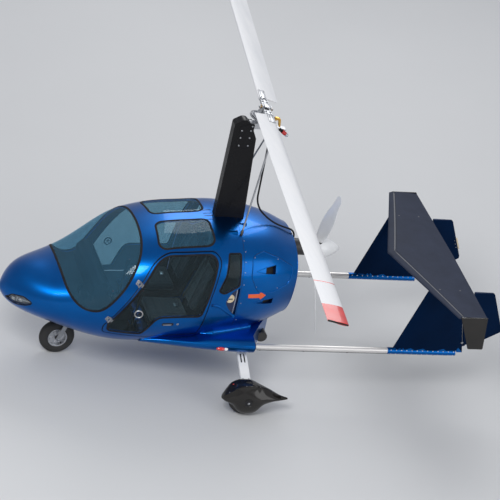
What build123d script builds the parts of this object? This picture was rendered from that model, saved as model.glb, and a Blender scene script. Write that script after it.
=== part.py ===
from build123d import *
from math import atan2, degrees, radians, sin, tan
import os

# A side-by-side gyrocopter: enclosed cabin, pusher propeller, twin tail booms, tricycle gear.
# Millimetres. +X is the aircraft's left, the nose points to -Y, +Z is up.
# The origin lies on the ground, midway between the nose tip and the rudders' rear corners.
# A station is the distance aft of the nose tip.

# Overall
LENGTH = 5070
SIDES = {"left": 1, "right": -1}

# Body shell
SKIN = 26
COWL_SKIN = 10
GLASS = 6
PANEL_GAP = 6
NOSE_HEIGHT = 750
COWL_SEAM = 2255
COWL_END = 2880
BELLY_SEAM = 692

# Rotor
ROTOR_RADIUS = 4300
ROTOR_TILT = 10
ROTOR_AZIMUTH = 6.5
ROTOR_CONE = 1.3
BLADE_CHORD = 205
BLADE_THICK = 26
HUB_STATION = 2344
HUB_HEIGHT = 2874
HUB_BAR_REACH = 330
HUB_BAR_WIDTH = 74
HUB_BAR_THICK = 26
TEETER_BOLT_R = 9
TOWER_CHEEK = 12
TOWER_DROP = 62
RING_GEAR_R = 125
RING_GEAR_THICK = 12
SHAFT_R = 22
RUNNING_GAP = 0.3
BORE_GAP = 0.05

# Cabin
FLOOR_TOP = 442
FLOOR_THICK = 14
FIREWALL = 12
FIREWALL_INSET = 30
DASH_WIDTH = 840
CONSOLE_WIDTH = 170

# Seats
SEAT_OUT = 300
SEAT_WIDTH = 430
SEAT_TOP = 670
SEAT_FRONT = 1425
SEAT_FOLD = 1881
SEAT_RAKE = 16
SEAT_BACK = 620
SEAT_SHELL = 40
CUSHION = 90
BACK_CUSHION = 70

# Mast
MAST_CHORD = 300
MAST_THICK = 100
MAST_FRONT = 2040
MAST_FOOT = 1560
MAST_TOP = 2768

# Propeller
PROP_STATION = 3186
PROP_HEIGHT = 1320
PROP_RADIUS = 860
PROP_BLADES = 3
SPINNER_R = 116
SPINNER_BASE = 3140
SPINNER_LENGTH = 297

# Tail
BOOM_HALF_SPACING = 719
BOOM_R = 30
BOOM_HEIGHT = 570
BOOM_WALL = 3
BOOM_ROOT = 2330
BOOM_END_INSET = 440
STAB_HALF_SPAN = 1228
STAB_HEIGHT = 1288
STAB_ROOT_CHORD = 706
STAB_TIP_CHORD = 308
STAB_ROOT_THICK = 54
STAB_TIP_THICK = 30
STAB_TRAIL_INSET = 401
END_PLATE_DROP = 330
END_PLATE_THICK = 12
FIN_THICK = 46
SLEEVE_WALL = 4
SLEEVE_LEAD = 48

# Landing gear
WHEEL_R = 180
TYRE_WIDTH = 100
RIM_R = 95
HALF_TRACK = 1050
MAIN_STATION = 2400
NOSE_WHEEL_STATION = 685
STEER_RAKE = 14
LEG_CHORD = 95
LEG_THICK = 24
AXLE_R = 10
STEM_R = 12

# Controls
ROD_R = 9
ROD_CLEAR = 7
# Ends of a control rod: distance out, station, height
ROD_FOOT = (342, 2243, 1558)
ROD_HEAD = (34, 2470, 2668)
CABLE_R = 9
CABLE_OUT = 42
SILENCER_R = 55
SILENCER_STATION = 2665
SILENCER_HEIGHT = 505
SILENCER_INNER = 172
SILENCER_OUTER = 430
EXHAUST_R = 19
EXHAUST_OUT = 198
ENGINE_STATION = 2590
ENGINE_LENGTH = 500
ENGINE_WIDTH = 450
ENGINE_LOW = 980
ENGINE_HIGH = 1400
ENGINE_MOUNT_OUT = 180
ENGINE_MOUNT_R = 13
GEARBOX_R = 84

# Navigation lights on the stub wings: distance out, station, height, half sizes
LIGHT_SPOT = (752, 2143, 560)
LIGHT_HALF_WIDTH = 27
LIGHT_HALF_LENGTH = 48
LIGHT_HALF_HEIGHT = 21


def at(station):
    """Y of a station."""
    return station - LENGTH / 2


def quarter(centre, mid, width, height, roundness):
    """One quarter of a section, a cubic from the widest point to the crown or the keel."""
    x0, y = centre
    return Bezier(
        (x0 + width, y, mid),
        (x0 + width, y, mid + roundness * height),
        (x0 + roundness * width, y, mid + height),
        (x0, y, mid + height),
    )


def section(station, width, low, mid, top, round_top, round_low, x0=0, inset=0):
    """A closed cross-section made of four quarters."""
    centre = (x0, at(station))
    half = width - inset
    up, down = top - inset - mid, low + inset - mid
    edges = [
        quarter(centre, mid, half, up, round_top),
        quarter(centre, mid, -half, up, round_top),
        quarter(centre, mid, -half, down, round_low),
        quarter(centre, mid, half, down, round_low),
    ]
    return Face(Wire(edges))


# Hull sections: station, half width, keel, widest height, crown, crown roundness, keel roundness
HULL = (
    (25, 82, 682, 750, 822, 0.55, 0.55),
    (100, 200, 603, 762, 944, 0.55, 0.55),
    (350, 400, 507, 800, 1045, 0.57, 0.60),
    (700, 540, 407, 860, 1178, 0.62, 0.64),
    (1100, 665, 348, 920, 1478, 0.69, 0.68),
    (1600, 705, 372, 980, 1608, 0.745, 0.70),
    (1850, 700, 396, 1004, 1633, 0.745, 0.70),
    (2100, 685, 425, 1030, 1658, 0.745, 0.70),
    (2300, 655, 467, 1065, 1652, 0.735, 0.68),
    (2500, 615, 515, 1100, 1626, 0.72, 0.66),
    (2700, 548, 572, 1140, 1576, 0.69, 0.63),
    (COWL_END, 462, 635, 1180, 1503, 0.64, 0.60),
)

# Belly sections, out to the stub wings that carry the booms, same columns
BELLY = (
    (1350, 560, 440, 520, 560, 0.75, 0.75),
    (1600, 660, 436, 585, 640, 0.75, 0.75),
    (1850, 722, 436, 594, 672, 0.75, 0.75),
    (2100, 762, 436, 590, 682, 0.75, 0.75),
    (2350, 786, 438, 588, 684, 0.75, 0.75),
    (2800, 790, 442, 586, 682, 0.75, 0.75),
)


def hull(inset=0):
    """The hull as one solid, drawn in by a wall's thickness."""
    rows = [row for row in HULL if row[1] > 3 * inset]
    tip = Vertex(0, at(2.5 * inset), NOSE_HEIGHT)
    return loft([tip] + [section(*row, inset=inset) for row in rows])


def rounded(corners):
    """A closed outline through corners of (u, v, radius), as lines and arcs."""
    count = len(corners)
    ends = []
    for index, (u, v, radius) in enumerate(corners):
        here = Vector(u, v)
        before = (Vector(*corners[index - 1][:2]) - here).normalized()
        after = (Vector(*corners[(index + 1) % count][:2]) - here).normalized()
        if radius == 0:
            ends.append((here, None, here))
            continue
        half = radians(before.get_angle(after)) / 2
        reach = radius / tan(half)
        middle = here + (before + after).normalized() * (radius / sin(half) - radius)
        ends.append((here + before * reach, middle, here + after * reach))
    edges = []
    for index, (start, middle, end) in enumerate(ends):
        if middle is not None:
            edges.append(ThreePointArc(start, middle, end))
        next_start = ends[(index + 1) % count][0]
        if (next_start - end).length > 0.01:
            edges.append(Line(end, next_start))
    return make_face(edges)


def side_profile(corners):
    """A face in the side view from corners of (station, height, radius)."""
    return Plane.YZ * rounded([(at(station), height, radius) for station, height, radius in corners])


def side_prism(corners, side=0, inset=0, reach=1000):
    """A prism across the body on both sides, or on one, shrunk by inset."""
    face = side_profile(corners)
    if inset:
        face = offset(face, amount=-inset, kind=Kind.INTERSECTION)
    if side == 0:
        return extrude(face, reach, dir=(1, 0, 0), both=True)
    return extrude(face, reach, dir=(side, 0, 0))


def plan_prism(corners, side=1, low=0, high=2000):
    """A vertical prism from corners of (station, distance out, radius)."""
    face = rounded([(side * out, at(station), radius) for station, out, radius in corners])
    return Pos(0, 0, low) * extrude(face, high - low)


# Outlines in the side view: station, height, corner radius
WINDSHIELD = (
    (430, 1225, 0), (650, 842, 100), (925, 820, 130), (1195, 1300, 900),
    (1292, 1640, 0), (1292, 1900, 0), (430, 1900, 0),
)
DOOR = (
    (948, 690, 60), (950, 585, 45), (1400, 590, 0), (1900, 640, 0), (1922, 780, 60),
    (1957, 1100, 300), (2038, 1538, 90), (1375, 1484, 330),
)
DOOR_GLASS = (
    (1000, 622, 35), (1318, 636, 35), (1440, 862, 110), (1886, 882, 45), (1930, 1100, 300),
    (1992, 1512, 75), (1402, 1462, 260), (985, 715, 50),
)
QUARTER_WINDOW = (
    (2100, 1520, 14), (2222, 1520, 16), (2230, 1225, 28), (2085, 1145, 36), (2022, 1172, 24),
    (2082, 1330, 160),
)
NOSE_LAMP = ((52, 690, 8), (130, 772, 55), (285, 722, 12), (150, 626, 60))
# Outline in the plan view: station, distance from the centre line, corner radius
ROOF_WINDOW = ((1428, 76, 80), (1966, 76, 80), (1968, 462, 80), (1404, 468, 80))
DASH = (
    (838, 836, 30), (838, 1010, 40), (905, 1082, 45), (985, 1046, 28), (952, 850, 24), (900, 826, 0),
)
CONSOLE = (
    (880, FLOOR_TOP, 0), (880, 872, 0), (965, 872, 60), (1190, 640, 110), (1384, 606, 40),
    (1384, FLOOR_TOP, 0),
)
# Submerged air inlets in the cowl's sides, pointed ahead and square at the lip
COWL_INLETS = (
    ((2392, 1362, 3), (2500, 1392, 80), (2612, 1404, 5), (2612, 1314, 5), (2500, 1332, 80)),
    ((2412, 1022, 3), (2520, 1046, 80), (2636, 1054, 5), (2636, 984, 5), (2520, 998, 80)),
)
# Belly planform: station, distance from the centre line
BELLY_TRAIL = ((2487, 655), (2600, 470), (2750, 250))

# Door hinges on the slanted front edge: station, height, distance out
HINGES = ((1214, 1208, 673), (986, 775, 639))
HINGE_R = 8
HINGE_PIN_R = 3.5
HINGE_LENGTH = 60
# The hinge line stands off the skin, outside the skin's bulge between the hinges
HINGE_STAND = 19
LEAF_THICK = 4
# The door's inner layer stands further in from the opening, so the door swings free
DOOR_REBATE = 21


def tube(start, end, radius, wall=0):
    """A round bar or tube between two points."""
    start, end = Vector(*start), Vector(*end)
    plane = Plane(origin=start, z_dir=end - start)
    length = (end - start).length
    bar = extrude(plane * Circle(radius), length)
    if wall:
        bar -= extrude(plane * Circle(radius - wall), length)
    return bar


def both(maker):
    """The left and the right copy of a piece."""
    return [maker(side) for side in SIDES.values()]


def body_shells():
    """The cabin shell, the engine cowl, the glazing, the doors and what is set into the skin."""
    outer = hull()
    inner = hull(SKIN)
    under_glass = hull(GLASS)
    belly = loft([section(*row) for row in BELLY])
    span = BELLY[-1][1] + 50
    trail = [(BELLY[0][0] - 50, span, 0)] + [(BELLY_TRAIL[0][0], span, 0)]
    trail += [(station, out, 0) for station, out in BELLY_TRAIL]
    trail += [(station, -out, 0) for station, out in reversed(BELLY_TRAIL)]
    trail += [(BELLY_TRAIL[0][0], -span, 0), (BELLY[0][0] - 50, -span, 0)]
    belly = belly & plan_prism(trail)

    rear = Pos(0, at(COWL_SEAM), BELLY_SEAM) * Box(
        3000, 2000, 3000, align=(Align.CENTER, Align.MIN, Align.MIN)
    )
    middle = hull(COWL_SKIN)
    cowl = (outer & rear) - middle
    shell = (outer + belly) - inner - rear
    lamps = (outer - inner) & side_prism(NOSE_LAMP)

    for outline in COWL_INLETS:
        cowl -= side_prism(outline)

    windshield = (outer - under_glass) & side_prism(WINDSHIELD)
    roof = [(outer - under_glass) & plan_prism(ROOF_WINDOW, side, 1200) for side in SIDES.values()]
    quarters = [(outer - under_glass) & side_prism(QUARTER_WINDOW, side) for side in SIDES.values()]
    shell -= side_prism(WINDSHIELD)
    shell -= side_prism(QUARTER_WINDOW)
    shell -= side_prism(NOSE_LAMP)
    shell -= side_prism(DOOR)
    for side in SIDES.values():
        shell -= plan_prism(ROOF_WINDOW, side, 1200)

    nodes = {
        "engine_cowl": [cowl],
        "windshield": [windshield],
        "cabin_windows": roof + quarters,
        "nose_lamps": lamps.solids(),
    }
    for name, side in SIDES.items():
        panel = (outer - middle) & side_prism(DOOR, side, inset=PANEL_GAP)
        panel += (middle - inner) & side_prism(DOOR, side, inset=DOOR_REBATE)
        window = side_prism(DOOR_GLASS, side)
        glass = (outer - under_glass) & window
        nodes["door_" + name] = [panel - window]
        nodes["door_glass_" + name] = [glass]
    return shell, nodes, outer, inner


def mast_block():
    """The mast: a plank-like box with rounded edges and a sloped top."""
    rear = MAST_FRONT + MAST_CHORD
    profile = side_profile((
        (MAST_FRONT, MAST_FOOT, 0), (rear + 6, MAST_FOOT, 0), (rear + 4, MAST_FOOT + 110, 90),
        (rear - 46, 2553, 0), (rear - 120, MAST_TOP - 60, 30), (MAST_FRONT + 110, MAST_TOP, 60),
        (MAST_FRONT + 8, MAST_TOP - 62, 30),
    ))
    block = extrude(profile, MAST_THICK / 2, dir=(1, 0, 0), both=True)
    plan = rounded((
        (-MAST_THICK / 2, at(MAST_FRONT) - 20, 40), (MAST_THICK / 2, at(MAST_FRONT) - 20, 40),
        (MAST_THICK / 2, at(rear) + 20, 30), (-MAST_THICK / 2, at(rear) + 20, 30),
    ))
    return block & (Pos(0, 0, MAST_FOOT) * extrude(plan, 2000))


def hub_frame():
    """The rotor's own frame: origin at the teeter bolt, Z along the tilted shaft."""
    return Location((0, at(HUB_STATION), HUB_HEIGHT), (-ROTOR_TILT, 0, 0))


def blade_frame():
    """The teetering frame, turned to the blades' resting direction: X runs along the left blade."""
    return hub_frame() * Rot(0, 0, -ROTOR_AZIMUTH)


def rotor_pieces():
    """Fixed head, spinning tower with its ring gear, hub bar and blades."""
    gear_low = -TOWER_DROP - RING_GEAR_THICK - 40
    housing_low = gear_low - 78
    housing = Pos(0, 0, housing_low) * Cylinder(
        46, gear_low - 5 - housing_low, align=(Align.CENTER, Align.CENTER, Align.MIN)
    )
    housing -= Pos(0, 0, housing_low) * Cylinder(
        SHAFT_R + BORE_GAP, 400, align=(Align.CENTER, Align.CENTER, Align.MIN)
    )
    arm = Pos(0, 150, housing_low + 16) * Box(64, 250, 16)
    arm -= Pos(0, 0, housing_low) * Cylinder(40, 100)
    head = hub_frame() * (housing + arm)
    cradle = Pos(0, at(HUB_STATION) - 62, HUB_HEIGHT - 190) * Box(MAST_THICK - 24, 150, 60)
    head = head + (cradle - hub_frame() * Cylinder(SHAFT_R + 12, 800))
    head -= mast_block()

    shaft_low = housing_low - 14
    shaft = Pos(0, 0, shaft_low) * Cylinder(
        SHAFT_R, -TOWER_DROP - 6 - shaft_low, align=(Align.CENTER, Align.CENTER, Align.MIN)
    )
    gear = Pos(0, 0, gear_low) * Cylinder(
        RING_GEAR_R, RING_GEAR_THICK, align=(Align.CENTER, Align.CENTER, Align.MIN)
    )
    base = Pos(0, 0, gear_low + RING_GEAR_THICK) * Box(
        90, HUB_BAR_WIDTH + 2 * TOWER_CHEEK + 6, -TOWER_DROP + 8 - gear_low - RING_GEAR_THICK,
        align=(Align.CENTER, Align.CENTER, Align.MIN),
    )
    cheek_out = HUB_BAR_WIDTH / 2 + 1
    cheeks = [
        Pos(0, side * (cheek_out + TOWER_CHEEK / 2), -TOWER_DROP + 4)
        * Box(70, TOWER_CHEEK, TOWER_DROP + 24, align=(Align.CENTER, Align.CENTER, Align.MIN))
        for side in (1, -1)
    ]
    bolt = Rot(90, 0, 0) * Cylinder(TEETER_BOLT_R, HUB_BAR_WIDTH + 2 * TOWER_CHEEK + 20)
    tower = shaft + gear + base + cheeks[0] + cheeks[1] + bolt
    tower = blade_frame() * tower

    bar = Box(2 * HUB_BAR_REACH, HUB_BAR_WIDTH, HUB_BAR_THICK)
    eye = Rot(90, 0, 0) * Cylinder(24, HUB_BAR_WIDTH)
    hole = Rot(90, 0, 0) * Cylinder(TEETER_BOLT_R + BORE_GAP, HUB_BAR_WIDTH + 2)
    bar = (bar + eye) - hole
    blade = rotor_blade()
    left = Rot(0, -ROTOR_CONE, 0) * blade
    right = Rot(0, 0, 180) * left
    bar = bar - left - right
    return {
        "rotor_head": [head],
        "rotor_tower": [tower],
        "rotor_hub_bar": [blade_frame() * bar],
        "rotor_blade_left": [blade_frame() * left],
        "rotor_blade_right": [blade_frame() * right],
    }


def rotor_blade():
    """One rotor blade along +X with its leading edge towards +Y."""
    nose = BLADE_CHORD * 0.27
    tail = nose - BLADE_CHORD
    half = BLADE_THICK / 2
    top = [
        Bezier((nose, 0), (nose, half * 0.7), (nose * 0.55, half), (0, half)),
        Bezier((0, half), (tail * 0.4, half), (tail, 1)),
    ]
    bottom = [
        Bezier((nose, 0), (nose, -half * 0.7), (nose * 0.55, -half), (0, -half)),
        Bezier((0, -half), (tail * 0.4, -half), (tail, -1)),
    ]
    foil = make_face(top + bottom + [Line((tail, 1), (tail, -1))])
    root = HUB_BAR_REACH * 0.55
    blade = extrude(Plane.YZ * foil, ROTOR_RADIUS - root)
    return Pos(root, 0, 0) * blade


# Propeller blade: radius, chord, thickness, pitch in degrees
PROP_TABLE = (
    (50, 62, 44, 60),
    (150, 96, 34, 46),
    (330, 142, 22, 31),
    (580, 128, 14, 22),
    (780, 88, 8, 17),
    (PROP_RADIUS, 44, 4, 15),
)


def lens(chord, thick):
    """A closed lens-like blade section."""
    a, b, k = chord / 2, thick / 2, 0.62
    edges = [
        Bezier((a, 0), (a, k * b), (k * a, b), (0, b)),
        Bezier((0, b), (-k * a, b), (-a, k * b), (-a, 0)),
        Bezier((-a, 0), (-a, -k * b), (-k * a, -b), (0, -b)),
        Bezier((0, -b), (k * a, -b), (a, -k * b), (a, 0)),
    ]
    return make_face(edges)


def propeller_pieces():
    """The pusher propeller and its spinner."""
    stations = []
    for radius, chord, thick, pitch in PROP_TABLE:
        stations.append(Pos(0, 0, radius) * Rot(0, 0, pitch) * lens(chord, thick))
    blade = loft(stations)
    axis = Location((0, at(PROP_STATION), PROP_HEIGHT))
    hub = Rot(90, 0, 0) * Cylinder(62, 70)
    blades = hub
    for index in range(PROP_BLADES):
        blades += Rot(0, 24 + index * 360 / PROP_BLADES, 0) * blade
    base = at(SPINNER_BASE)
    tip = base + SPINNER_LENGTH
    profile = make_face([
        Line((0, base), (SPINNER_R, base)),
        Line((SPINNER_R, base), (SPINNER_R, base + 70)),
        Bezier((SPINNER_R, base + 70), (SPINNER_R * 0.98, base + 165), (36, tip), (0, tip)),
        Line((0, tip), (0, base)),
    ])
    spinner = Pos(0, 0, PROP_HEIGHT) * revolve(profile, Axis.Y)
    placed = axis * blades
    return {"propeller": [placed], "spinner": [spinner - placed]}


def foil_face(lead, chord, thick, tail_thick, place):
    """A symmetric section in the plane place: u runs aft from lead, v is the thickness."""
    crest = lead + 0.32 * chord
    half, end = thick / 2, tail_thick / 2
    tail = lead + chord
    edges = [
        Bezier((lead, 0), (lead, half * 0.72), (lead + 0.14 * chord, half), (crest, half)),
        Bezier((crest, half), (lead + 0.62 * chord, half), (tail, end)),
        Line((tail, end), (tail, -end)),
        Bezier((tail, -end), (lead + 0.62 * chord, -half), (crest, -half)),
        Bezier((crest, -half), (lead + 0.14 * chord, -half), (lead, -half * 0.72), (lead, 0)),
    ]
    return place * make_face(edges)


STAB_TRAIL = LENGTH - STAB_TRAIL_INSET
BOOM_END = LENGTH - BOOM_END_INSET
# The rudder hinge leans forward as it rises: station at its foot and at its head
HINGE_FOOT = (LENGTH - 364, 661)
HINGE_HEAD = (LENGTH - 478, 1190)
FIN_FOOT_LEAD = LENGTH - 1122
FIN_HEAD_LEAD = LENGTH - 882
RUDDER_LEAD_R = 14
RUDDER_PIN_R = 4
LUG_THICK = 6
LUG_REACH = 62


def hinge_station(height):
    """Station of the rudder's hinge line at a height."""
    rise = (height - HINGE_FOOT[1]) / (HINGE_HEAD[1] - HINGE_FOOT[1])
    return HINGE_FOOT[0] + rise * (HINGE_HEAD[0] - HINGE_FOOT[0])


def across(x):
    """The fore-and-aft plane at x, at the stabiliser's height."""
    return Plane(origin=(x, 0, STAB_HEIGHT), x_dir=(0, 1, 0), z_dir=(1, 0, 0))


def stabilizer():
    """The swept tailplane with a straight trailing edge."""
    tip_lead = STAB_TRAIL - 15 - STAB_TIP_CHORD
    root_lead = STAB_TRAIL - STAB_ROOT_CHORD
    root = foil_face(at(root_lead), STAB_ROOT_CHORD, STAB_ROOT_THICK, 5, across(0))
    halves = []
    for side in SIDES.values():
        place = across(side * STAB_HALF_SPAN)
        tip = foil_face(at(tip_lead), STAB_TIP_CHORD, STAB_TIP_THICK, 4, place)
        halves.append(loft([root, tip]))
    return halves[0] + halves[1]


def fin(side, plane_body):
    """A fin, the sleeve that grips its boom, and the lugs that hold the rudder's pins."""
    foot, head = BOOM_HEIGHT + BOOM_R * 0.4, STAB_HEIGHT
    x = side * BOOM_HALF_SPACING
    back = RUDDER_LEAD_R + PANEL_GAP + 1
    faces = []
    for height, lead in ((foot, FIN_FOOT_LEAD), (head, FIN_HEAD_LEAD)):
        chord = hinge_station(height) - back - lead
        place = Location((x, at(lead), height), (0, 0, 90))
        faces.append(foil_face(0, chord, FIN_THICK, 30, place))
    body = loft(faces)
    body += tube(
        (x, at(FIN_FOOT_LEAD - SLEEVE_LEAD), BOOM_HEIGHT), (x, at(BOOM_END - SLEEVE_WALL), BOOM_HEIGHT),
        BOOM_R + SLEEVE_WALL,
    )
    foot_end, head_end = [Vector(*point) for point in hinge_points(x)]
    along = (head_end - foot_end).normalized()
    for end, drop in ((foot_end, -LUG_THICK - RUNNING_GAP), (head_end, RUNNING_GAP)):
        place = Plane(origin=end + along * drop, x_dir=(1, 0, 0), z_dir=along)
        lug = Pos(0, 8 - LUG_REACH / 2, 0) * Box(
            20, LUG_REACH, LUG_THICK, align=(Align.CENTER, Align.CENTER, Align.MIN)
        )
        body += place * lug
    body += rudder_pin(x)
    return body - plane_body


def hinge_points(x):
    """The two ends of a rudder's hinge line."""
    return (x, at(HINGE_FOOT[0]), HINGE_FOOT[1]), (x, at(HINGE_HEAD[0]), HINGE_HEAD[1])


def rudder_pin(x):
    """Two short pins on the hinge line, one up from the lower lug and one down from the upper."""
    foot, head = [Vector(*point) for point in hinge_points(x)]
    along = (head - foot).normalized()
    lower = tube(foot - along * (LUG_THICK + 1), foot + along * 24, RUDDER_PIN_R)
    upper = tube(head - along * 24, head + along * (LUG_THICK + 1), RUDDER_PIN_R)
    return lower + upper


def rudder(side):
    """A rudder: a rounded leading edge on the hinge line and a plate tapering aft."""
    x = side * BOOM_HALF_SPACING
    foot, head = hinge_points(x)
    bar = tube(foot, head, RUDDER_LEAD_R)
    top = 1284
    clear = STAB_TRAIL + 16
    outline = side_profile((
        (HINGE_FOOT[0], HINGE_FOOT[1] + 4, 0), (LENGTH - 158, 738, 20), (LENGTH, 830, 10),
        (LENGTH, 858, 20), (LENGTH - 172, top, 34), (clear, top, 8), (clear, HINGE_HEAD[1] - 2, 8),
        (HINGE_HEAD[0], HINGE_HEAD[1] - 2, 0),
    ))
    plate = Pos(x, 0, 0) * extrude(outline, RUDDER_LEAD_R, dir=(1, 0, 0), both=True)
    front, rear = at(HINGE_HEAD[0]) - 10, at(LENGTH) + 10
    wedge = make_face(Polyline(
        (x - RUDDER_LEAD_R, front), (x + RUDDER_LEAD_R, front), (x + 3, rear), (x - 3, rear),
        close=True,
    ))
    body = bar + (plate & extrude(wedge, 2000))
    axis_bar = tube(foot, head, RUDDER_PIN_R + BORE_GAP)
    return body - axis_bar


def end_plate(side):
    """The small fin hanging from a stabiliser tip."""
    tip_lead = STAB_TRAIL - 15 - STAB_TIP_CHORD
    low = STAB_HEIGHT - END_PLATE_DROP - 20
    outline = side_profile((
        (tip_lead + 24, STAB_HEIGHT + 12, 10), (tip_lead + 172, low, 14),
        (STAB_TRAIL + 8, low, 14), (STAB_TRAIL - 16, STAB_HEIGHT + 12, 6),
    ))
    plate = extrude(outline, END_PLATE_THICK, dir=(side, 0, 0))
    return Pos(side * STAB_HALF_SPAN, 0, 0) * plate


def boom(side):
    """A tubular tail boom, plugged into its stub wing."""
    x = side * BOOM_HALF_SPACING
    start = (x, at(BOOM_ROOT), BOOM_HEIGHT)
    end = (x, at(BOOM_END), BOOM_HEIGHT)
    return tube(start, end, BOOM_R, BOOM_WALL)


def tyre_profile():
    """Half of a tyre's section, from the rim seat to the tread: radius, distance from the middle."""
    half = TYRE_WIDTH / 2
    return [
        Line((RIM_R, -half * 0.78), (RIM_R, half * 0.78)),
        Bezier((RIM_R, half * 0.78), (RIM_R + 26, half * 1.12), (WHEEL_R - 34, half * 1.08),
               (WHEEL_R - 14, half * 0.72)),
        Bezier((WHEEL_R - 14, half * 0.72), (WHEEL_R, half * 0.42), (WHEEL_R, 0)),
        Bezier((WHEEL_R, 0), (WHEEL_R, -half * 0.42), (WHEEL_R - 14, -half * 0.72)),
        Bezier((WHEEL_R - 14, -half * 0.72), (WHEEL_R - 34, -half * 1.08),
               (RIM_R + 26, -half * 1.12), (RIM_R, -half * 0.78)),
    ]


def wheel(x, station):
    """A tyre and its rim, turning about X."""
    place = Location((x, at(station), WHEEL_R), (0, 90, 0))
    spin = Axis.Z
    tyre = revolve(Plane.XZ * make_face(tyre_profile()), spin)
    half = TYRE_WIDTH * 0.39
    barrel = Cylinder(RIM_R, 2 * half) - Cylinder(RIM_R - 9, 2 * half + 2)
    disc = Cylinder(RIM_R - 5, 14)
    holes = [Rot(0, 0, 72 * n) * Pos(60, 0, 0) * Cylinder(15, 40) for n in range(5)]
    hub = Cylinder(30, 62)
    rim = barrel + disc
    for hole in holes:
        rim -= hole
    rim = rim + hub - Cylinder(AXLE_R + BORE_GAP, 200)
    return place * tyre, place * rim


# Spat sections: distance aft of the wheel centre, half width, low, mid, top
SPAT = (
    (-252, 10, 142, 152, 163),
    (-236, 46, 112, 152, 200),
    (-165, 98, 64, 165, 334),
    (-20, 114, 50, 172, 392),
    (130, 106, 54, 168, 352),
    (300, 64, 92, 160, 248),
    (440, 12, 142, 158, 176),
)
SPAT_SKIN = 6
SPAT_OPEN = 92


def spat(side):
    """A teardrop wheel fairing, open below."""
    x = side * HALF_TRACK
    outer = [section(MAIN_STATION + aft, width, low, mid, top, 0.56, 0.56, x0=x)
             for aft, width, low, mid, top in SPAT]
    shell = loft(outer)
    inner = [section(MAIN_STATION + aft, width, low, mid, top, 0.56, 0.56, x0=x, inset=SPAT_SKIN)
             for aft, width, low, mid, top in SPAT[1:-1]]
    inside = loft(inner)
    below = Pos(x, at(MAIN_STATION), SPAT_OPEN) * Box(
        400, 1400, 200, align=(Align.CENTER, Align.CENTER, Align.MAX)
    )
    return shell - inside - below


def gear_leg(side):
    """A main leg of spring plate from the belly to the axle."""
    root, knee, foot = (560, 500), (HALF_TRACK - 96, 302), (HALF_TRACK - 92, WHEEL_R - 26)
    half = LEG_THICK / 2
    upper = make_face(Polyline(
        (root[0], root[1] - half), (knee[0], knee[1] - half), (knee[0] + 20, knee[1] + 6),
        (root[0], root[1] + half + 8), close=True,
    ))
    lower = Rectangle(LEG_THICK - 4, knee[1] - foot[1])
    place = Plane.XZ
    blade = extrude(place * upper, LEG_CHORD / 2, both=True)
    lower = Pos(foot[0] + 4, (knee[1] + foot[1]) / 2) * lower
    post = extrude(place * lower, 35, both=True)
    axle = Pos(foot[0], 0, WHEEL_R) * (Rot(0, 90, 0) * Cylinder(
        AXLE_R, HALF_TRACK - foot[0] + 36, align=(Align.CENTER, Align.CENTER, Align.MIN)
    ))
    leg = blade + post + axle
    leg = Pos(0, at(MAIN_STATION), 0) * leg
    return leg if side == 1 else mirror(leg, Plane.YZ)


def nose_leg():
    """The leaf under the nose and the boss that carries the steering stem."""
    leaf = side_profile((
        (290, 496, 0), (290, 512, 0), (470, 464, 200), (752, 388, 0), (752, 372, 0), (468, 448, 200),
    ))
    leaf = extrude(leaf, 65, dir=(1, 0, 0), both=True)
    seat = Pos(0, at(325), 500) * Box(110, 60, 60, align=(Align.CENTER, Align.CENTER, Align.MIN))
    stem = steer_frame()
    boss = stem * Cylinder(34, 16)
    hole = stem * Cylinder(STEM_R + BORE_GAP, 200)
    return (leaf + seat + boss) - hole


STEER_POINT = (748, 380)


def steer_frame():
    """Frame on the raked steering axis, where it passes through the leaf."""
    station, height = STEER_POINT
    return Location((0, at(station), height), (-STEER_RAKE, 0, 0))


def nose_fork():
    """Crown, two blades and the axle; the axle's ends stand out as tow-bar pins."""
    stem = steer_frame()
    pin = stem * Pos(0, 0, -22) * Cylinder(STEM_R, 31, align=(Align.CENTER, Align.CENTER, Align.MIN))
    crown = stem * Pos(0, 0, -18) * Box(150, 50, 10)
    wheel_centre = Vector(0, at(NOSE_WHEEL_STATION), WHEEL_R)
    top = Vector(0, at(STEER_POINT[0]) - 5, STEER_POINT[1] - 18)
    lean = degrees(atan2((top - wheel_centre).Y, (top - wheel_centre).Z))
    length = (top - wheel_centre).length
    fork = pin + crown
    for side in SIDES.values():
        blade = Location((side * 69, wheel_centre.Y, wheel_centre.Z), (-lean, 0, 0)) * (
            Pos(0, 0, length / 2) * Box(12, 44, length) + Rot(0, 90, 0) * Cylinder(24, 12)
        )
        fork += blade
    axle = Pos(0, wheel_centre.Y, WHEEL_R) * (Rot(0, 90, 0) * Cylinder(AXLE_R, 210))
    return fork + axle


def engine():
    """A plain engine block on four mounts, with its reduction gearbox."""
    block = Pos(0, at(ENGINE_STATION), ENGINE_LOW) * Box(
        ENGINE_WIDTH, ENGINE_LENGTH, ENGINE_HIGH - ENGINE_LOW,
        align=(Align.CENTER, Align.CENTER, Align.MIN),
    )
    wall = at(COWL_SEAM - FIREWALL_INSET) + FIREWALL / 2 + RUNNING_GAP
    face = at(ENGINE_STATION - ENGINE_LENGTH / 2)
    for out in (-ENGINE_MOUNT_OUT, ENGINE_MOUNT_OUT):
        for height in (ENGINE_LOW + 40, ENGINE_HIGH - 40):
            block += tube((out, wall, height), (out, face + 2, height), ENGINE_MOUNT_R)
    rear = at(ENGINE_STATION + ENGINE_LENGTH / 2) - 2
    flange = at(SPINNER_BASE - RUNNING_GAP * 3)
    gearbox = tube((0, rear, PROP_HEIGHT), (0, flange, PROP_HEIGHT), GEARBOX_R)
    bell = tube((0, rear, PROP_HEIGHT - 60), (0, rear + 92, PROP_HEIGHT - 60), 1.55 * GEARBOX_R)
    return block + gearbox + bell


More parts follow.
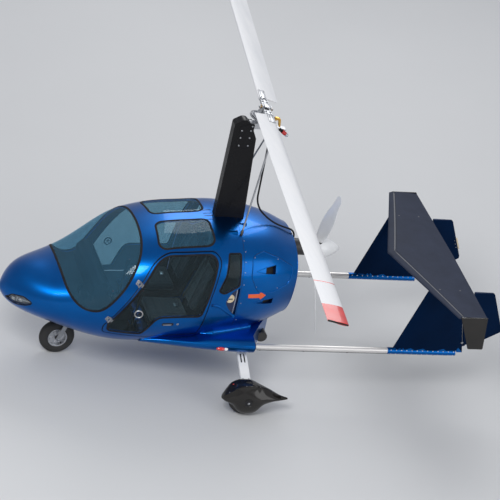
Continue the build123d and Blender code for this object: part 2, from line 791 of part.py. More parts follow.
def seat_frame(side):
    """Frame at a seat's fold: Z runs up the front of its back."""
    return Location((side * SEAT_OUT, at(SEAT_FOLD), SEAT_TOP), (-SEAT_RAKE, 0, 0))


def seat(side):
    """A seat shell: a dished pan on its box, and a back with rounded shoulders."""
    pan = side_profile((
        (SEAT_FRONT, SEAT_TOP, 12), (SEAT_FRONT + 25, SEAT_TOP - 60, 24),
        (SEAT_FOLD + 20, SEAT_TOP - 60, 24), (SEAT_FOLD + 30, SEAT_TOP, 0),
    ))
    pan = Pos(side * SEAT_OUT, 0, 0) * extrude(pan, SEAT_WIDTH / 2, dir=(1, 0, 0), both=True)
    box = Pos(side * (SEAT_OUT - 38), at(SEAT_FRONT + 265), FLOOR_TOP) * Box(
        230, 330, SEAT_TOP - 50 - FLOOR_TOP, align=(Align.CENTER, Align.CENTER, Align.MIN)
    )
    half = SEAT_WIDTH / 2
    back = rounded((
        (-half, -30, 0), (half, -30, 0), (half, 0.55 * SEAT_BACK, 160), (0.66 * half, SEAT_BACK, 70),
        (-0.66 * half, SEAT_BACK, 70), (-half, 0.55 * SEAT_BACK, 160),
    ))
    back = seat_frame(side) * extrude(Plane.XZ * back, -SEAT_SHELL)
    return pan + box + back


def cushion(side):
    """Seat and back cushions, resting a running gap clear of the shell."""
    length = SEAT_FOLD - SEAT_FRONT - 26
    pad = Pos(side * SEAT_OUT, at(SEAT_FRONT + length / 2), SEAT_TOP + RUNNING_GAP + CUSHION / 2) * Box(
        SEAT_WIDTH - 20, length, CUSHION
    )
    low, high = 1.2 * CUSHION, SEAT_BACK - 20
    back = seat_frame(side) * Pos(0, -RUNNING_GAP - BACK_CUSHION / 2, (low + high) / 2) * Box(
        0.74 * SEAT_WIDTH, BACK_CUSHION, high - low
    )
    return [fillet(pad.edges(), 24), fillet(back.edges(), 24)]


def cabin_pieces(inner, mast):
    """Floor, firewall, instrument panel, seats, sticks and the frame under the mast."""
    floor = inner & (Pos(0, at(1450), FLOOR_TOP - FLOOR_THICK / 2) * Box(2000, 1500, FLOOR_THICK))
    wall = Pos(0, at(COWL_SEAM - FIREWALL_INSET), 1100) * Box(2000, FIREWALL, 1500)
    firewall = (inner & wall) - mast
    dash = inner & extrude(side_profile(DASH), DASH_WIDTH / 2, dir=(1, 0, 0), both=True)
    console = extrude(side_profile(CONSOLE), CONSOLE_WIDTH / 2, dir=(1, 0, 0), both=True)
    frame = inner & (Pos(0, at(2120), MAST_FOOT) * Box(
        60, 120, MAST_FOOT, align=(Align.CENTER, Align.CENTER, Align.MAX)
    ))
    frame -= floor
    sticks = []
    for side in SIDES.values():
        sticks.append(tube((side * 300, at(1330), FLOOR_TOP + 1.2), (side * 300, at(1370), 900), 12))
    pads = [cushion(side) for side in SIDES.values()]
    return {
        "cabin_floor": [floor],
        "firewall": [firewall],
        "instrument_panel": [dash + console],
        "cabin_frame": [frame],
        "control_sticks": sticks,
        "seats": [(seat(side) & inner) - floor for side in SIDES.values()],
        "seat_cushions": pads[0] + pads[1],
    }


def control_rods(radius=ROD_R):
    """Two push-pull rods from inside the cowl up to the head's control arm."""
    (foot_out, foot_station, foot_height), (head_out, head_station, head_height) = ROD_FOOT, ROD_HEAD
    return [
        tube(
            (side * foot_out, at(foot_station), foot_height),
            (side * head_out, at(head_station), head_height), radius,
        )
        for side in SIDES.values()
    ]


def door_hinges(outer):
    """The left door's hinge leaves, fixed and moving, lying on the skin."""
    plate = hull(-LEAF_THICK) - outer
    upper, lower = [Vector(out, at(station), height) for station, height, out in HINGES]
    along = (upper - lower).normalized()
    knuckle = HINGE_LENGTH / 3
    barrel = Cylinder(HINGE_R, knuckle - 1)
    depth = HINGE_STAND - HINGE_PIN_R - BORE_GAP
    web = Pos(-HINGE_PIN_R - BORE_GAP - depth / 2, 13, 0) * Box(depth, 26, knuckle - 1)
    back_web = Pos(0, -26, 0) * web
    fixed, moving = [], []
    for middle in (upper, lower):
        skin = outer.faces().sort_by_distance(middle)[0]
        place = Plane(origin=middle, x_dir=skin.normal_at(middle), z_dir=along)
        leaf = plate & (place * (Pos(0, -31, 0) * Box(60, 44, HINGE_LENGTH)))
        leaf += place * Cylinder(HINGE_PIN_R, HINGE_LENGTH)
        for end in (-knuckle, knuckle):
            leaf += place * (Pos(0, 0, end) * (barrel + back_web))
        fixed.append(leaf - outer)
        leaf = plate & (place * (Pos(0, 40, 0) * Box(60, 40, HINGE_LENGTH)))
        leaf += place * (barrel + web)
        leaf -= place * Cylinder(HINGE_PIN_R + BORE_GAP, HINGE_LENGTH)
        moving.append(leaf - outer)
    return fixed, moving


def drive_cable(outer):
    """The prerotator's drive cable, from the head down to the cowl's crown and over its end."""
    x = CABLE_OUT
    lay = CABLE_R + RUNNING_GAP

    def crown(station):
        line = Edge.make_line(Vector(x, at(station), 1000), Vector(x, at(station), 2500))
        return max(vertex.Z for vertex in outer.intersect(line).vertices())

    points = [
        Vector(x, at(2432), 2632),
        Vector(x, at(2446), 1790),
        Vector(x, at(2660), crown(2660) + lay + 6),
        Vector(x, at(COWL_END + 30), crown(COWL_END - 1) + lay + 14),
        Vector(x, at(COWL_END + 34), PROP_HEIGHT + GEARBOX_R * 0.8),
    ]
    radii = []
    for before, here, after in zip(points, points[1:], points[2:]):
        turn = radians((here - before).get_angle(after - here))
        radii.append(0.45 * min((here - before).length, (after - here).length) / tan(turn / 2))
    print("drive cable bend radii", [round(radius) for radius in radii])
    path = FilletPolyline(*points, radius=radii)
    start = Plane(origin=points[0], z_dir=points[1] - points[0])
    return sweep(start * Circle(CABLE_R), path=path)


def silencer(room=0):
    """The silencer's drum across the tail of the belly, and its pipe down from the engine."""
    y, z = at(SILENCER_STATION), SILENCER_HEIGHT
    inner_end, outer_end = SILENCER_INNER - room, SILENCER_OUTER + 40 * room
    drum = tube((inner_end, y, z), (outer_end, y, z), SILENCER_R + room)
    pipe = tube((EXHAUST_OUT, y, z), (EXHAUST_OUT, y, ENGINE_LOW), EXHAUST_R + room)
    return drum + pipe


def wing_light(side):
    """A small navigation light on the shoulder of a stub wing."""
    out, station, height = LIGHT_SPOT
    shares = (LIGHT_HALF_WIDTH / 30, LIGHT_HALF_HEIGHT / 30, LIGHT_HALF_LENGTH / 30)
    return Pos(side * out, at(station), height) * (Rot(90, 0, 0) * scale(Sphere(30), shares))


def build():
    """Every node and its solids."""
    shell, nodes, outer, inner = body_shells()
    mast = mast_block()
    legs = both(gear_leg)
    lights = both(wing_light)
    rods = control_rods()
    rod_holes = control_rods(ROD_R + ROD_CLEAR)
    fixed_leaves, moving_leaves = door_hinges(outer)
    shell -= silencer(6)
    boom_cores = []
    for side in SIDES.values():
        x = side * BOOM_HALF_SPACING
        boom_cores.append(tube((x, at(BOOM_ROOT), BOOM_HEIGHT), (x, at(BOOM_END), BOOM_HEIGHT), BOOM_R))
    for solid in [mast] + legs + boom_cores + rod_holes:
        shell -= solid
    cowl = nodes["engine_cowl"][0] - mast
    for hole in rod_holes:
        cowl -= hole
    nodes["engine_cowl"] = [cowl]
    nodes["cabin_shell"] = [shell]
    nodes["mast"] = [mast]
    nodes["tail_booms"] = both(boom)
    nodes["gear_legs"] = legs
    nodes["wheel_spats"] = [one - leg for one, leg in zip(both(spat), legs)]
    nodes.update(rotor_pieces())
    nodes["rotor_head"] = [nodes["rotor_head"][0] - rods[0] - rods[1]]
    nodes.update(propeller_pieces())
    plane_body = stabilizer()
    nodes["stabilizer"] = [plane_body]
    nodes["tail_fins"] = [
        fin(side, plane_body) - core for side, core in zip(SIDES.values(), boom_cores)
    ]
    nodes["end_plates"] = both(end_plate)
    nodes["nose_leg"] = [nose_leg() - outer]
    nodes["nose_fork"] = [nose_fork()]
    tyre, rim = wheel(0, NOSE_WHEEL_STATION)
    nodes["nose_tyre"], nodes["nose_rim"] = [tyre], [rim]
    for name, side in SIDES.items():
        nodes["rudder_" + name] = [rudder(side)]
        tyre, rim = wheel(side * HALF_TRACK, MAIN_STATION)
        nodes["main_tyre_" + name], nodes["main_rim_" + name] = [tyre], [rim]
    nodes["engine_block"] = [engine()]
    nodes.update(cabin_pieces(inner, mast))
    nodes["control_rods"] = rods
    nodes["drive_cable"] = [drive_cable(outer) - nodes["rotor_head"][0] - nodes["engine_block"][0]]
    nodes["silencer"] = [silencer()]
    nodes["wing_lights"] = [light - shell for light in lights]
    nodes["door_hinges"] = fixed_leaves + [mirror(leaf, Plane.YZ) for leaf in fixed_leaves]
    nodes["hinge_leaves_left"] = moving_leaves
    nodes["hinge_leaves_right"] = [mirror(leaf, Plane.YZ) for leaf in moving_leaves]
    return nodes


if __name__ == "__main__":
    os.makedirs("parts", exist_ok=True)
    for name, solids in build().items():
        flat = [piece for solid in solids for piece in solid.solids()]
        export_step(Compound(children=flat) if len(flat) > 1 else flat[0], f"parts/{name}.step")
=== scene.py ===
import math
import bmesh
import bpy
import numpy as np
from mathutils import Matrix, Vector, geometry


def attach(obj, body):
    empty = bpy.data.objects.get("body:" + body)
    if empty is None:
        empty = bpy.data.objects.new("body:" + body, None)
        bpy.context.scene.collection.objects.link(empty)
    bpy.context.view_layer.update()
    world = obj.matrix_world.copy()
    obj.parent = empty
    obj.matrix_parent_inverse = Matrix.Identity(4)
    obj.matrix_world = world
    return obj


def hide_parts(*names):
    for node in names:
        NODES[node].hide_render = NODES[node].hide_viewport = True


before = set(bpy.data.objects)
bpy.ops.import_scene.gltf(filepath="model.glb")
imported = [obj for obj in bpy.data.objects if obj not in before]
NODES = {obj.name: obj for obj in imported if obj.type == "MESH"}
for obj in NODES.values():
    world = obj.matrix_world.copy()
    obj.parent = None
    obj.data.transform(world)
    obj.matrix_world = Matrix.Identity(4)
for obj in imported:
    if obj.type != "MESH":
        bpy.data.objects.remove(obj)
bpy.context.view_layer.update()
SIDES = {"left": 1, "right": -1}
LENGTH = 5070.0
SHELL_THICK, PANE_THICK, DOOR_GAP = 24, 5, 6
scene = bpy.context.scene


# Materials

def add(tree, kind, **values):
    node = tree.nodes.new(kind)
    for key, value in values.items():
        if key in node.inputs:
            node.inputs[key].default_value = value
        else:
            setattr(node, key, value)
    return node


def new_material(name):
    """A material, its node tree, its shader and the object's coordinates."""
    mat = bpy.data.materials.new(name)
    mat.use_nodes = True
    tree = mat.node_tree
    shader = next(n for n in tree.nodes if n.type == "BSDF_PRINCIPLED")
    return mat, tree, shader, add(tree, "ShaderNodeTexCoord").outputs["Object"]


def ramp(tree, source, low, high, target, places=(0.3, 0.7)):
    """Feeds an input through a ramp from one colour to another, or from grey to grey."""
    node = tree.nodes.new("ShaderNodeValToRGB")
    for element, place, colour in zip(node.color_ramp.elements, places, (low, high)):
        element.position = place
        element.color = (*colour, 1) if isinstance(colour, tuple) else (colour, colour, colour, 1)
    tree.links.new(source, node.inputs["Fac"])
    tree.links.new(node.outputs["Color"], target)


def relief(tree, shader, height, strength, distance):
    node = add(tree, "ShaderNodeBump", Strength=strength, Distance=distance)
    tree.links.new(height, node.inputs["Height"])
    tree.links.new(node.outputs["Normal"], shader.inputs["Normal"])


def gloss(shader, metallic=0.0, coat=0.0, coat_rough=0.04, specular=0.5):
    for key, value in (("Metallic", metallic), ("Coat Weight", coat), ("Coat Roughness", coat_rough),
                       ("Specular IOR Level", specular)):
        shader.inputs[key].default_value = value


def surface(name, dark, light, rough=(0.3, 0.45), scale=6.0, metallic=0.0, coat=0.0, bump=0.1, grain=260.0,
            stretch=(1, 1, 1), sheen=0.0, specular=0.5):
    """A finish with mottled colour, uneven gloss and a fine grain."""
    mat, tree, shader, coord = new_material(name)
    mapping = add(tree, "ShaderNodeMapping", Scale=stretch)
    tree.links.new(coord, mapping.inputs["Vector"])
    broad = add(tree, "ShaderNodeTexNoise", Scale=scale, Detail=6.0, Roughness=0.6)
    fine = add(tree, "ShaderNodeTexNoise", Scale=grain, Detail=3.0)
    for noise in (broad, fine):
        tree.links.new(mapping.outputs["Vector"], noise.inputs["Vector"])
    ramp(tree, broad.outputs["Fac"], dark, light, shader.inputs["Base Color"])
    ramp(tree, broad.outputs["Fac"], *rough, shader.inputs["Roughness"], (0.25, 0.8))
    relief(tree, shader, fine.outputs["Fac"], bump, 0.001)
    gloss(shader, metallic, coat, specular=specular)
    shader.inputs["Sheen Weight"].default_value = sheen
    return mat


def metallic_paint(name, dark, light, metallic, rough, coat):
    """Metallic paint under clear lacquer, with fine flakes and a slow drift in depth."""
    mat, tree, shader, coord = new_material(name)
    flakes = add(tree, "ShaderNodeTexVoronoi", Scale=900.0)
    cloud = add(tree, "ShaderNodeTexNoise", Scale=2.2, Detail=4.0)
    for node in (flakes, cloud):
        tree.links.new(coord, node.inputs["Vector"])
    grey = add(tree, "ShaderNodeRGBToBW")
    tree.links.new(flakes.outputs["Color"], grey.inputs["Color"])
    mix = add(tree, "ShaderNodeMixRGB", blend_type="OVERLAY", Fac=0.18)
    ramp(tree, cloud.outputs["Fac"], dark, light, mix.inputs[1])
    tree.links.new(grey.outputs["Val"], mix.inputs[2])
    tree.links.new(mix.outputs["Color"], shader.inputs["Base Color"])
    relief(tree, shader, flakes.outputs["Distance"], 0.03, 0.0005)
    gloss(shader, metallic, coat, 0.03)
    shader.inputs["Roughness"].default_value = rough
    return mat


def tinted_glass(name, colour, veil, see):
    """Thin acrylic: part clear, part gloss, with faint smears and a veil of its own tint."""
    mat, tree, shader, coord = new_material(name)
    noise = add(tree, "ShaderNodeTexNoise", Scale=3.0, Detail=5.0)
    tree.links.new(coord, noise.inputs["Vector"])
    clear = add(tree, "ShaderNodeBsdfTransparent")
    smear = noise.outputs["Fac"]
    ramp(tree, smear, 0.02, 0.07, shader.inputs["Roughness"], (0.4, 0.8))
    ramp(tree, smear, colour, tuple(0.93 * c for c in colour), clear.inputs["Color"], (0.2, 0.8))
    ramp(tree, smear, veil, tuple(1.4 * c for c in veil), shader.inputs["Base Color"], (0.2, 0.8))
    shader.inputs["Specular IOR Level"].default_value = 0.7
    blend = add(tree, "ShaderNodeMixShader", Fac=see)
    output = next(n for n in tree.nodes if n.type == "OUTPUT_MATERIAL")
    tree.links.new(shader.outputs["BSDF"], blend.inputs[1])
    tree.links.new(clear.outputs["BSDF"], blend.inputs[2])
    tree.links.new(blend.outputs["Shader"], output.inputs["Surface"])
    return mat


def woven_black(name):
    """Black laminate with the cloth's weave under lacquer."""
    mat, tree, shader, coord = new_material(name)
    mapping = add(tree, "ShaderNodeMapping", Rotation=(0, 0.78, 0))
    tree.links.new(coord, mapping.inputs["Vector"])
    weave = add(tree, "ShaderNodeTexChecker", Scale=260.0, Color1=(0.004, 0.004, 0.005, 1),
                Color2=(0.012, 0.012, 0.013, 1))
    cloud = add(tree, "ShaderNodeTexNoise", Scale=9.0, Detail=6.0)
    tree.links.new(mapping.outputs["Vector"], weave.inputs["Vector"])
    tree.links.new(coord, cloud.inputs["Vector"])
    tree.links.new(weave.outputs["Color"], shader.inputs["Base Color"])
    ramp(tree, cloud.outputs["Fac"], 0.22, 0.42, shader.inputs["Roughness"])
    relief(tree, shader, weave.outputs["Fac"], 0.12, 0.0006)
    gloss(shader, coat=0.06, coat_rough=0.08, specular=0.12)
    return mat


LAMP = {"rough": (0.05, 0.12), "coat": 1.0, "bump": 0.02, "specular": 0.8}
MATS = {
    "blue": metallic_paint("metallic_blue", (0.0, 0.088, 0.34), (0.0, 0.125, 0.45), 1.0, 0.3, 0.2),
    "deep_navy": metallic_paint("deep_navy", (0.0, 0.009, 0.036), (0.0, 0.013, 0.053), 0.95, 0.38, 0.03),
    "lens_red": surface("lens_red", (0.55, 0.008, 0.006), (0.8, 0.02, 0.012), **LAMP),
    "lens_green": surface("lens_green", (0.005, 0.3, 0.07), (0.01, 0.45, 0.12), **LAMP),
    "frosted": surface("frosted_glass", (0.78, 0.8, 0.82), (0.88, 0.89, 0.9), (0.12, 0.25), coat=0.8,
                       bump=0.05),
    "chrome": surface("lamp_chrome", (0.78, 0.79, 0.8), (0.88, 0.89, 0.9), (0.06, 0.14), metallic=1.0,
                      bump=0.02),
    "satin": surface("satin_tube", (0.74, 0.72, 0.70), (0.82, 0.80, 0.78), (0.32, 0.4), 3, 0.7, bump=0.03,
                     grain=700),
    "webbing": surface("belt_webbing", (0.02, 0.021, 0.024), (0.045, 0.046, 0.05), (0.6, 0.8), bump=0.5,
                       grain=900, sheen=0.3),
    "screen": surface("screen_glass", (0.004, 0.006, 0.01), (0.012, 0.018, 0.028), (0.05, 0.1), coat=1.0,
                      bump=0.01),
    "lamp_grey": surface("lamp_housing", (0.30, 0.31, 0.33), (0.42, 0.43, 0.45), (0.25, 0.4), metallic=0.3),
    "glass": tinted_glass("tinted_acrylic", (0.64, 0.82, 0.90), (0.06, 0.165, 0.25), 0.8),
    "door_glass": tinted_glass("door_acrylic", (0.74, 0.84, 0.87), (0.05, 0.07, 0.08), 0.87),
    "lens": tinted_glass("lamp_cover", (0.93, 0.95, 0.96), (0.1, 0.1, 0.1), 0.9),
    "weave": woven_black("woven_laminate"),
    "gloss_black": surface("gloss_black", (0.006, 0.005, 0.004), (0.013, 0.011, 0.009), (0.08, 0.2),
                           coat=0.35, bump=0.03, specular=0.35),
    "seal": surface("seal_rubber", (0.006, 0.006, 0.007), (0.02, 0.02, 0.022), (0.55, 0.75), bump=0.25,
                    grain=500, specular=0.15),
    "dark_grey": surface("dark_laminate", (0.020, 0.026, 0.046), (0.034, 0.042, 0.070), (0.5, 0.62), 5,
                         bump=0.2, grain=420, specular=0.1),
    "trim_black": surface("trim_black", (0.010, 0.010, 0.012), (0.022, 0.022, 0.025), (0.5, 0.7), bump=0.12,
                          grain=160, specular=0.3),
    "white": surface("white_enamel", (0.78, 0.79, 0.8), (0.86, 0.86, 0.86), (0.18, 0.3), coat=0.5, bump=0.03),
    "blade_white": surface("blade_white", (0.60, 0.61, 0.63), (0.69, 0.69, 0.70), (0.3, 0.42), bump=0.05,
                           stretch=(0.3, 2, 2)),
    "red": surface("signal_red", (0.5, 0.012, 0.01), (0.62, 0.02, 0.015), (0.25, 0.4), coat=0.3, bump=0.03),
    "orange": surface("signal_orange", (0.72, 0.09, 0.02), (0.82, 0.13, 0.03), (0.3, 0.4), bump=0.03),
    "alloy": surface("bright_alloy", (0.44, 0.45, 0.47), (0.58, 0.59, 0.61), (0.3, 0.46), metallic=1.0,
                     bump=0.08, stretch=(1, 1, 6)),
    "steel": surface("machined_steel", (0.30, 0.31, 0.33), (0.44, 0.45, 0.47), (0.26, 0.42), metallic=1.0,
                     bump=0.12, grain=520),
    "dark_metal": surface("dark_metal", (0.05, 0.05, 0.055), (0.11, 0.105, 0.1), (0.4, 0.6), metallic=0.85,
                          bump=0.3),
    "gold": surface("anodised_gold", (0.55, 0.3, 0.06), (0.7, 0.42, 0.1), (0.25, 0.35), metallic=1.0,
                    bump=0.05),
    "tyre": surface("tyre_rubber", (0.012, 0.012, 0.012), (0.03, 0.029, 0.028), (0.6, 0.85), bump=0.4,
                    grain=380),
    "cloth": surface("seat_cloth", (0.045, 0.046, 0.052), (0.085, 0.086, 0.095), (0.75, 0.95), 30, bump=0.5,
                     grain=700, sheen=0.3),
    "beige": surface("trim_tab_paint", (0.6, 0.5, 0.34), (0.7, 0.6, 0.43), (0.4, 0.5)),
    "grey_band": surface("edge_tape", (0.06, 0.064, 0.076), (0.09, 0.095, 0.108), (0.4, 0.55), grain=420),
    # painted shade: a darker blue for the body's paint inside the side recesses and on the inlets' walls,
    # standing in for the shade there
    "recess_shade": surface("painted_recess_shade", (0.002, 0.012, 0.06), (0.003, 0.018, 0.085), (0.3, 0.42), metallic=0.4,
                    coat=0.5, bump=0.04),
    # painted shade: black for the deep rear part of the inlet ramps and the blister mouths, standing in for
    # the shade inside them
    "shade_black": surface("painted_shade_black", (0.003, 0.003, 0.004), (0.008, 0.008, 0.009), (0.7, 0.9)),
    "headliner": surface("cabin_lining", (0.05, 0.052, 0.058), (0.08, 0.08, 0.088), (0.8, 0.95), bump=0.15,
                         grain=180),
}


# Body surface

# Station, half width, keel, widest height, crown, crown roundness, keel roundness
SKIN_ROWS = np.array([
    (0, 0, 750, 750, 750, 0.55, 0.55),
    (25, 82, 682, 750, 822, 0.55, 0.55),
    (60, 146, 636, 757, 891, 0.55, 0.55),
    (100, 200, 603, 762, 944, 0.55, 0.55),
    (180, 281, 562, 774, 1003, 0.556, 0.566),
    (350, 400, 507, 800, 1045, 0.57, 0.60),
    (450, 449, 479, 817, 1063, 0.585, 0.612),
    (700, 540, 407, 860, 1178, 0.62, 0.64),
    (950, 618, 356, 898, 1380, 0.664, 0.665),
    (1100, 665, 348, 920, 1478, 0.69, 0.68),
    (1350, 712, 360, 950, 1561, 0.72, 0.69),
    (1600, 705, 372, 980, 1608, 0.745, 0.70),
    (1850, 700, 396, 1004, 1633, 0.745, 0.70),
    (2100, 685, 425, 1030, 1658, 0.745, 0.70),
    (2300, 655, 467, 1065, 1652, 0.735, 0.68),
    (2500, 615, 515, 1100, 1626, 0.72, 0.66),
    (2700, 548, 572, 1140, 1576, 0.69, 0.63),
    (2880, 462, 635, 1180, 1503, 0.64, 0.60),
])


def spline(xs, ys):
    """A natural cubic spline through the points, as a function of arrays."""
    xs, ys = np.asarray(xs, float), np.asarray(ys, float)
    h = np.diff(xs)
    n = len(xs)
    a = np.zeros((n, n))
    b = np.zeros(n)
    a[0, 0] = a[-1, -1] = 1
    for i in range(1, n - 1):
        a[i, i - 1], a[i, i], a[i, i + 1] = h[i - 1], 2 * (h[i - 1] + h[i]), h[i]
        b[i] = 6 * ((ys[i + 1] - ys[i]) / h[i] - (ys[i] - ys[i - 1]) / h[i - 1])
    m = np.linalg.solve(a, b)

    def value(x):
        x = np.asarray(x, float)
        i = np.clip(np.searchsorted(xs, x, side="right") - 1, 0, n - 2)
        t0, t1 = xs[i + 1] - x, x - xs[i]
        return ((m[i] * t0 ** 3 + m[i + 1] * t1 ** 3) / (6 * h[i])
                + (ys[i] / h[i] - m[i] * h[i] / 6) * t0 + (ys[i + 1] / h[i] - m[i + 1] * h[i] / 6) * t1)
    return value


ROOT = np.sqrt(SKIN_ROWS[:, 0])
HALF, LOW, MID, TOP, ROUND_TOP, ROUND_LOW = (spline(ROOT, SKIN_ROWS[:, k]) for k in range(1, 7))


def cubic(a, b, c, d, t):
    """The point at t of a cubic curve with these four control values."""
    return (1 - t) ** 3 * a + 3 * (1 - t) ** 2 * t * b + 3 * (1 - t) * t * t * c + t ** 3 * d


def arc_out(t, k):
    return cubic(1, 1, k, 0, t)


def arc_up(t, k):
    return cubic(0, k, 1, 1, t)


def section(u, phi, half, low, mid, top, round_top, round_low):
    """Points on a section of two arcs to each side, in metres."""
    a = np.abs(phi)
    upper = a <= 1
    t = np.where(upper, 1 - a, a - 1)
    k = np.where(upper, round_top, round_low)
    x = np.sign(phi) * half * arc_out(t, k)
    z = mid + np.where(upper, top - mid, low - mid) * arc_up(t, k)
    return np.stack([x, u * u - LENGTH / 2, z], -1) / 1000


def outward(point, u, phi, inner_x, inner_z):
    """The normal of a surface of (u, phi), pointing away from a line inside it."""
    e, f = 0.05, 0.002
    n = np.cross(point(u, phi + f) - point(u, phi - f), point(u + e, phi) - point(u - e, phi))
    n /= np.maximum(np.linalg.norm(n, axis=-1, keepdims=True), 1e-12)
    p = point(u, phi)
    away = p - np.stack([inner_x * p[..., 0], p[..., 1], inner_z + 0 * u], -1)
    return n * np.where((n * away).sum(-1, keepdims=True) < 0, -1, 1)


def skin(u, phi):
    """Points on the body. u is the root of the station in mm; phi is 0 at the crown, 1 at the
    left widest point, 2 at the keel, and negative on the right."""
    u, phi = np.broadcast_arrays(np.asarray(u, float), np.asarray(phi, float))
    return section(u, phi, HALF(u), LOW(u), MID(u), TOP(u), ROUND_TOP(u), ROUND_LOW(u))


def skin_normal(u, phi):
    u, phi = np.broadcast_arrays(np.asarray(u, float), np.asarray(phi, float))
    u = np.maximum(u, 0.4)
    return outward(skin, u, phi, 0, MID(u) / 1000)


TABLE_T = np.linspace(0, 1, 241)


def phi_at(station, height, side=1):
    """phi where the body's side has that height."""
    u = math.sqrt(max(station, 0))
    mid, top, low = float(MID(u)), float(TOP(u)), float(LOW(u))
    if height >= mid:
        share = (height - mid) / (top - mid)
        return side * (1 - np.interp(share, arc_up(TABLE_T, float(ROUND_TOP(u))), TABLE_T))
    share = (height - mid) / (low - mid)
    return side * (1 + np.interp(share, arc_up(TABLE_T, float(ROUND_LOW(u))), TABLE_T))


def phi_out(station, out, side=1):
    """phi on the crown's half at that distance from the centre line."""
    u = math.sqrt(station)
    spread = arc_out(TABLE_T, float(ROUND_TOP(u)))
    return side * (1 - np.interp(-out / float(HALF(u)), -spread, TABLE_T))


def on_skin(station, height, side=1, lift=0.0):
    """(point, normal) on the body's side, lifted by so many mm."""
    u, phi = math.sqrt(station), phi_at(station, height, side)
    n = skin_normal(u, phi)
    return skin(u, phi) + n * lift / 1000, n


def rounded(corners, step=16.0, arc=7):
    """A dense closed outline through corners of (u, v, radius)."""
    pts = [np.array(c[:2], float) for c in corners]
    n = len(pts)
    out = []
    for i, (u, v, r) in enumerate(corners):
        here = pts[i]
        before = pts[i - 1] - here
        after = pts[(i + 1) % n] - here
        lb, la = np.linalg.norm(before), np.linalg.norm(after)
        before, after = before / lb, after / la
        if r <= 0:
            out.append(here)
            continue
        half = math.acos(np.clip(before @ after, -1, 1)) / 2
        reach = min(r / math.tan(half), 0.49 * lb, 0.49 * la)
        r = reach * math.tan(half)
        centre = here + (before + after) / np.linalg.norm(before + after) * (r / math.sin(half))
        a, b = here + before * reach - centre, here + after * reach - centre
        turn = math.acos(np.clip(a @ b / (r * r), -1, 1))
        for k in range(arc + 1):
            w = k / arc
            out.append(centre + (math.sin((1 - w) * turn) * a + math.sin(w * turn) * b) / math.sin(turn))
    dense = []
    for i, p in enumerate(out):
        q = out[(i + 1) % len(out)]
        cuts = max(1, int(np.linalg.norm(q - p) // step))
        dense += [p + (q - p) * k / cuts for k in range(cuts)]
    return np.array(dense)


def grown(outline, by):
    """A dense outline moved out by so many mm (in, if negative)."""
    back, ahead = np.roll(outline, 1, 0), np.roll(outline, -1, 0)
    tangent = ahead - back
    tangent /= np.linalg.norm(tangent, axis=1, keepdims=True)
    area = np.sum(outline[:, 0] * ahead[:, 1] - ahead[:, 0] * outline[:, 1])
    normal = np.stack([tangent[:, 1], -tangent[:, 0]], 1) * np.sign(area)
    return outline + normal * by


def side_loop(outline, side):
    """A side-view outline as (u, phi) on one flank."""
    return np.array([(math.sqrt(s), phi_at(s, z, side)) for s, z in outline])


def plan_loop(outline, side):
    return np.array([(math.sqrt(s), phi_out(s, x, side)) for s, x in outline])


def over_crown(outline):
    """A side-view outline that passes over the crown, as one (u, phi) loop on both flanks."""
    under = [z < float(TOP(math.sqrt(s))) for s, z in outline]
    n = len(outline)
    first = next(i for i in range(n) if under[i] and not under[i - 1])
    chain = [outline[(first + k) % n] for k in range(n) if under[(first + k) % n]]

    def crossing(inside, outside):
        for _ in range(30):
            middle = (inside + outside) / 2
            if middle[1] < float(TOP(math.sqrt(middle[0]))):
                inside = middle
            else:
                outside = middle
        return inside
    last = (first + len(chain)) % n
    start = crossing(chain[0], outline[first - 1])
    end = crossing(chain[-1], outline[last])
    left = [(math.sqrt(s), phi_at(s, z)) for s, z in chain]
    right = [(u, -phi) for u, phi in reversed(left)]
    return np.array([(math.sqrt(start[0]), 0.0)] + left + [(math.sqrt(end[0]), 0.0)] + right)


# The windshield's edge in the side view, from the nose up to the crown: station, height
WINDSHIELD = (
    (505, 1130), (530, 1073), (557, 1008), (608, 937), (691, 868), (775, 838), (863, 844), (939, 904),
    (1009, 1008), (1071, 1115), (1126, 1228), (1182, 1345), (1225, 1440), (1258, 1520), (1288, 1600),
)
# Side-view outlines: station, height, corner radius
DOOR = (
    (948, 690, 60), (950, 585, 45), (1400, 590, 0), (1900, 640, 0), (1922, 780, 60),
    (1957, 1100, 300), (2038, 1538, 90), (1375, 1484, 330),
)
DOOR_GLASS = (
    (1000, 622, 35), (1318, 636, 35), (1440, 862, 110), (1886, 882, 45), (1930, 1100, 300),
    (1992, 1512, 75), (1402, 1462, 260), (985, 715, 50),
)
QUARTER_WINDOW = (
    (2100, 1520, 14), (2222, 1520, 16), (2230, 1225, 28), (2085, 1145, 36), (2022, 1172, 24),
    (2082, 1330, 160),
)
NOSE_LAMP = ((47, 690, 12), (90, 768, 45), (185, 800, 60), (276, 760, 22), (205, 700, 60), (118, 660, 50))
ROOF_WINDOW = ((1428, 76, 80), (1966, 76, 80), (1968, 462, 80), (1404, 468, 80))
HATCH = ((2352, 1493, 50), (2470, 1520, 60), (2635, 1458, 60), (2822, 1345, 60), (2790, 1190, 90),
         (2600, 1122, 110), (2440, 1150, 110), (2352, 1310, 120))
ARROW = ((2343, 1129, 0), (2467, 1124, 0), (2473, 1148, 0), (2541, 1101, 0), (2487, 1058, 0),
         (2474, 1078, 0), (2349, 1087, 0))
INLETS = (
    ((2392, 1362, 3), (2500, 1392, 80), (2612, 1404, 5), (2612, 1314, 5), (2500, 1332, 80)),
    ((2412, 1022, 3), (2520, 1046, 80), (2636, 1054, 5), (2636, 984, 5), (2520, 998, 80)),
)
RECESS = ((2246, 1204, 5), (2172, 1163, 24), (2110, 1048, 60), (2160, 968, 60), (2246, 878, 5))
COWL_SEAM, COWL_END, BELLY_SEAM = 2255, 2880, 692


def inside(points, loop):
    x, y = points[:, 0], points[:, 1]
    hit = np.zeros(len(points), bool)
    for (x0, y0), (x1, y1) in zip(loop, np.roll(loop, -1, 0)):
        if y0 == y1:
            continue
        cross = (y0 > y) != (y1 > y)
        hit ^= cross & (x < (x1 - x0) * (y - y0) / (y1 - y0) + x0)
    return hit


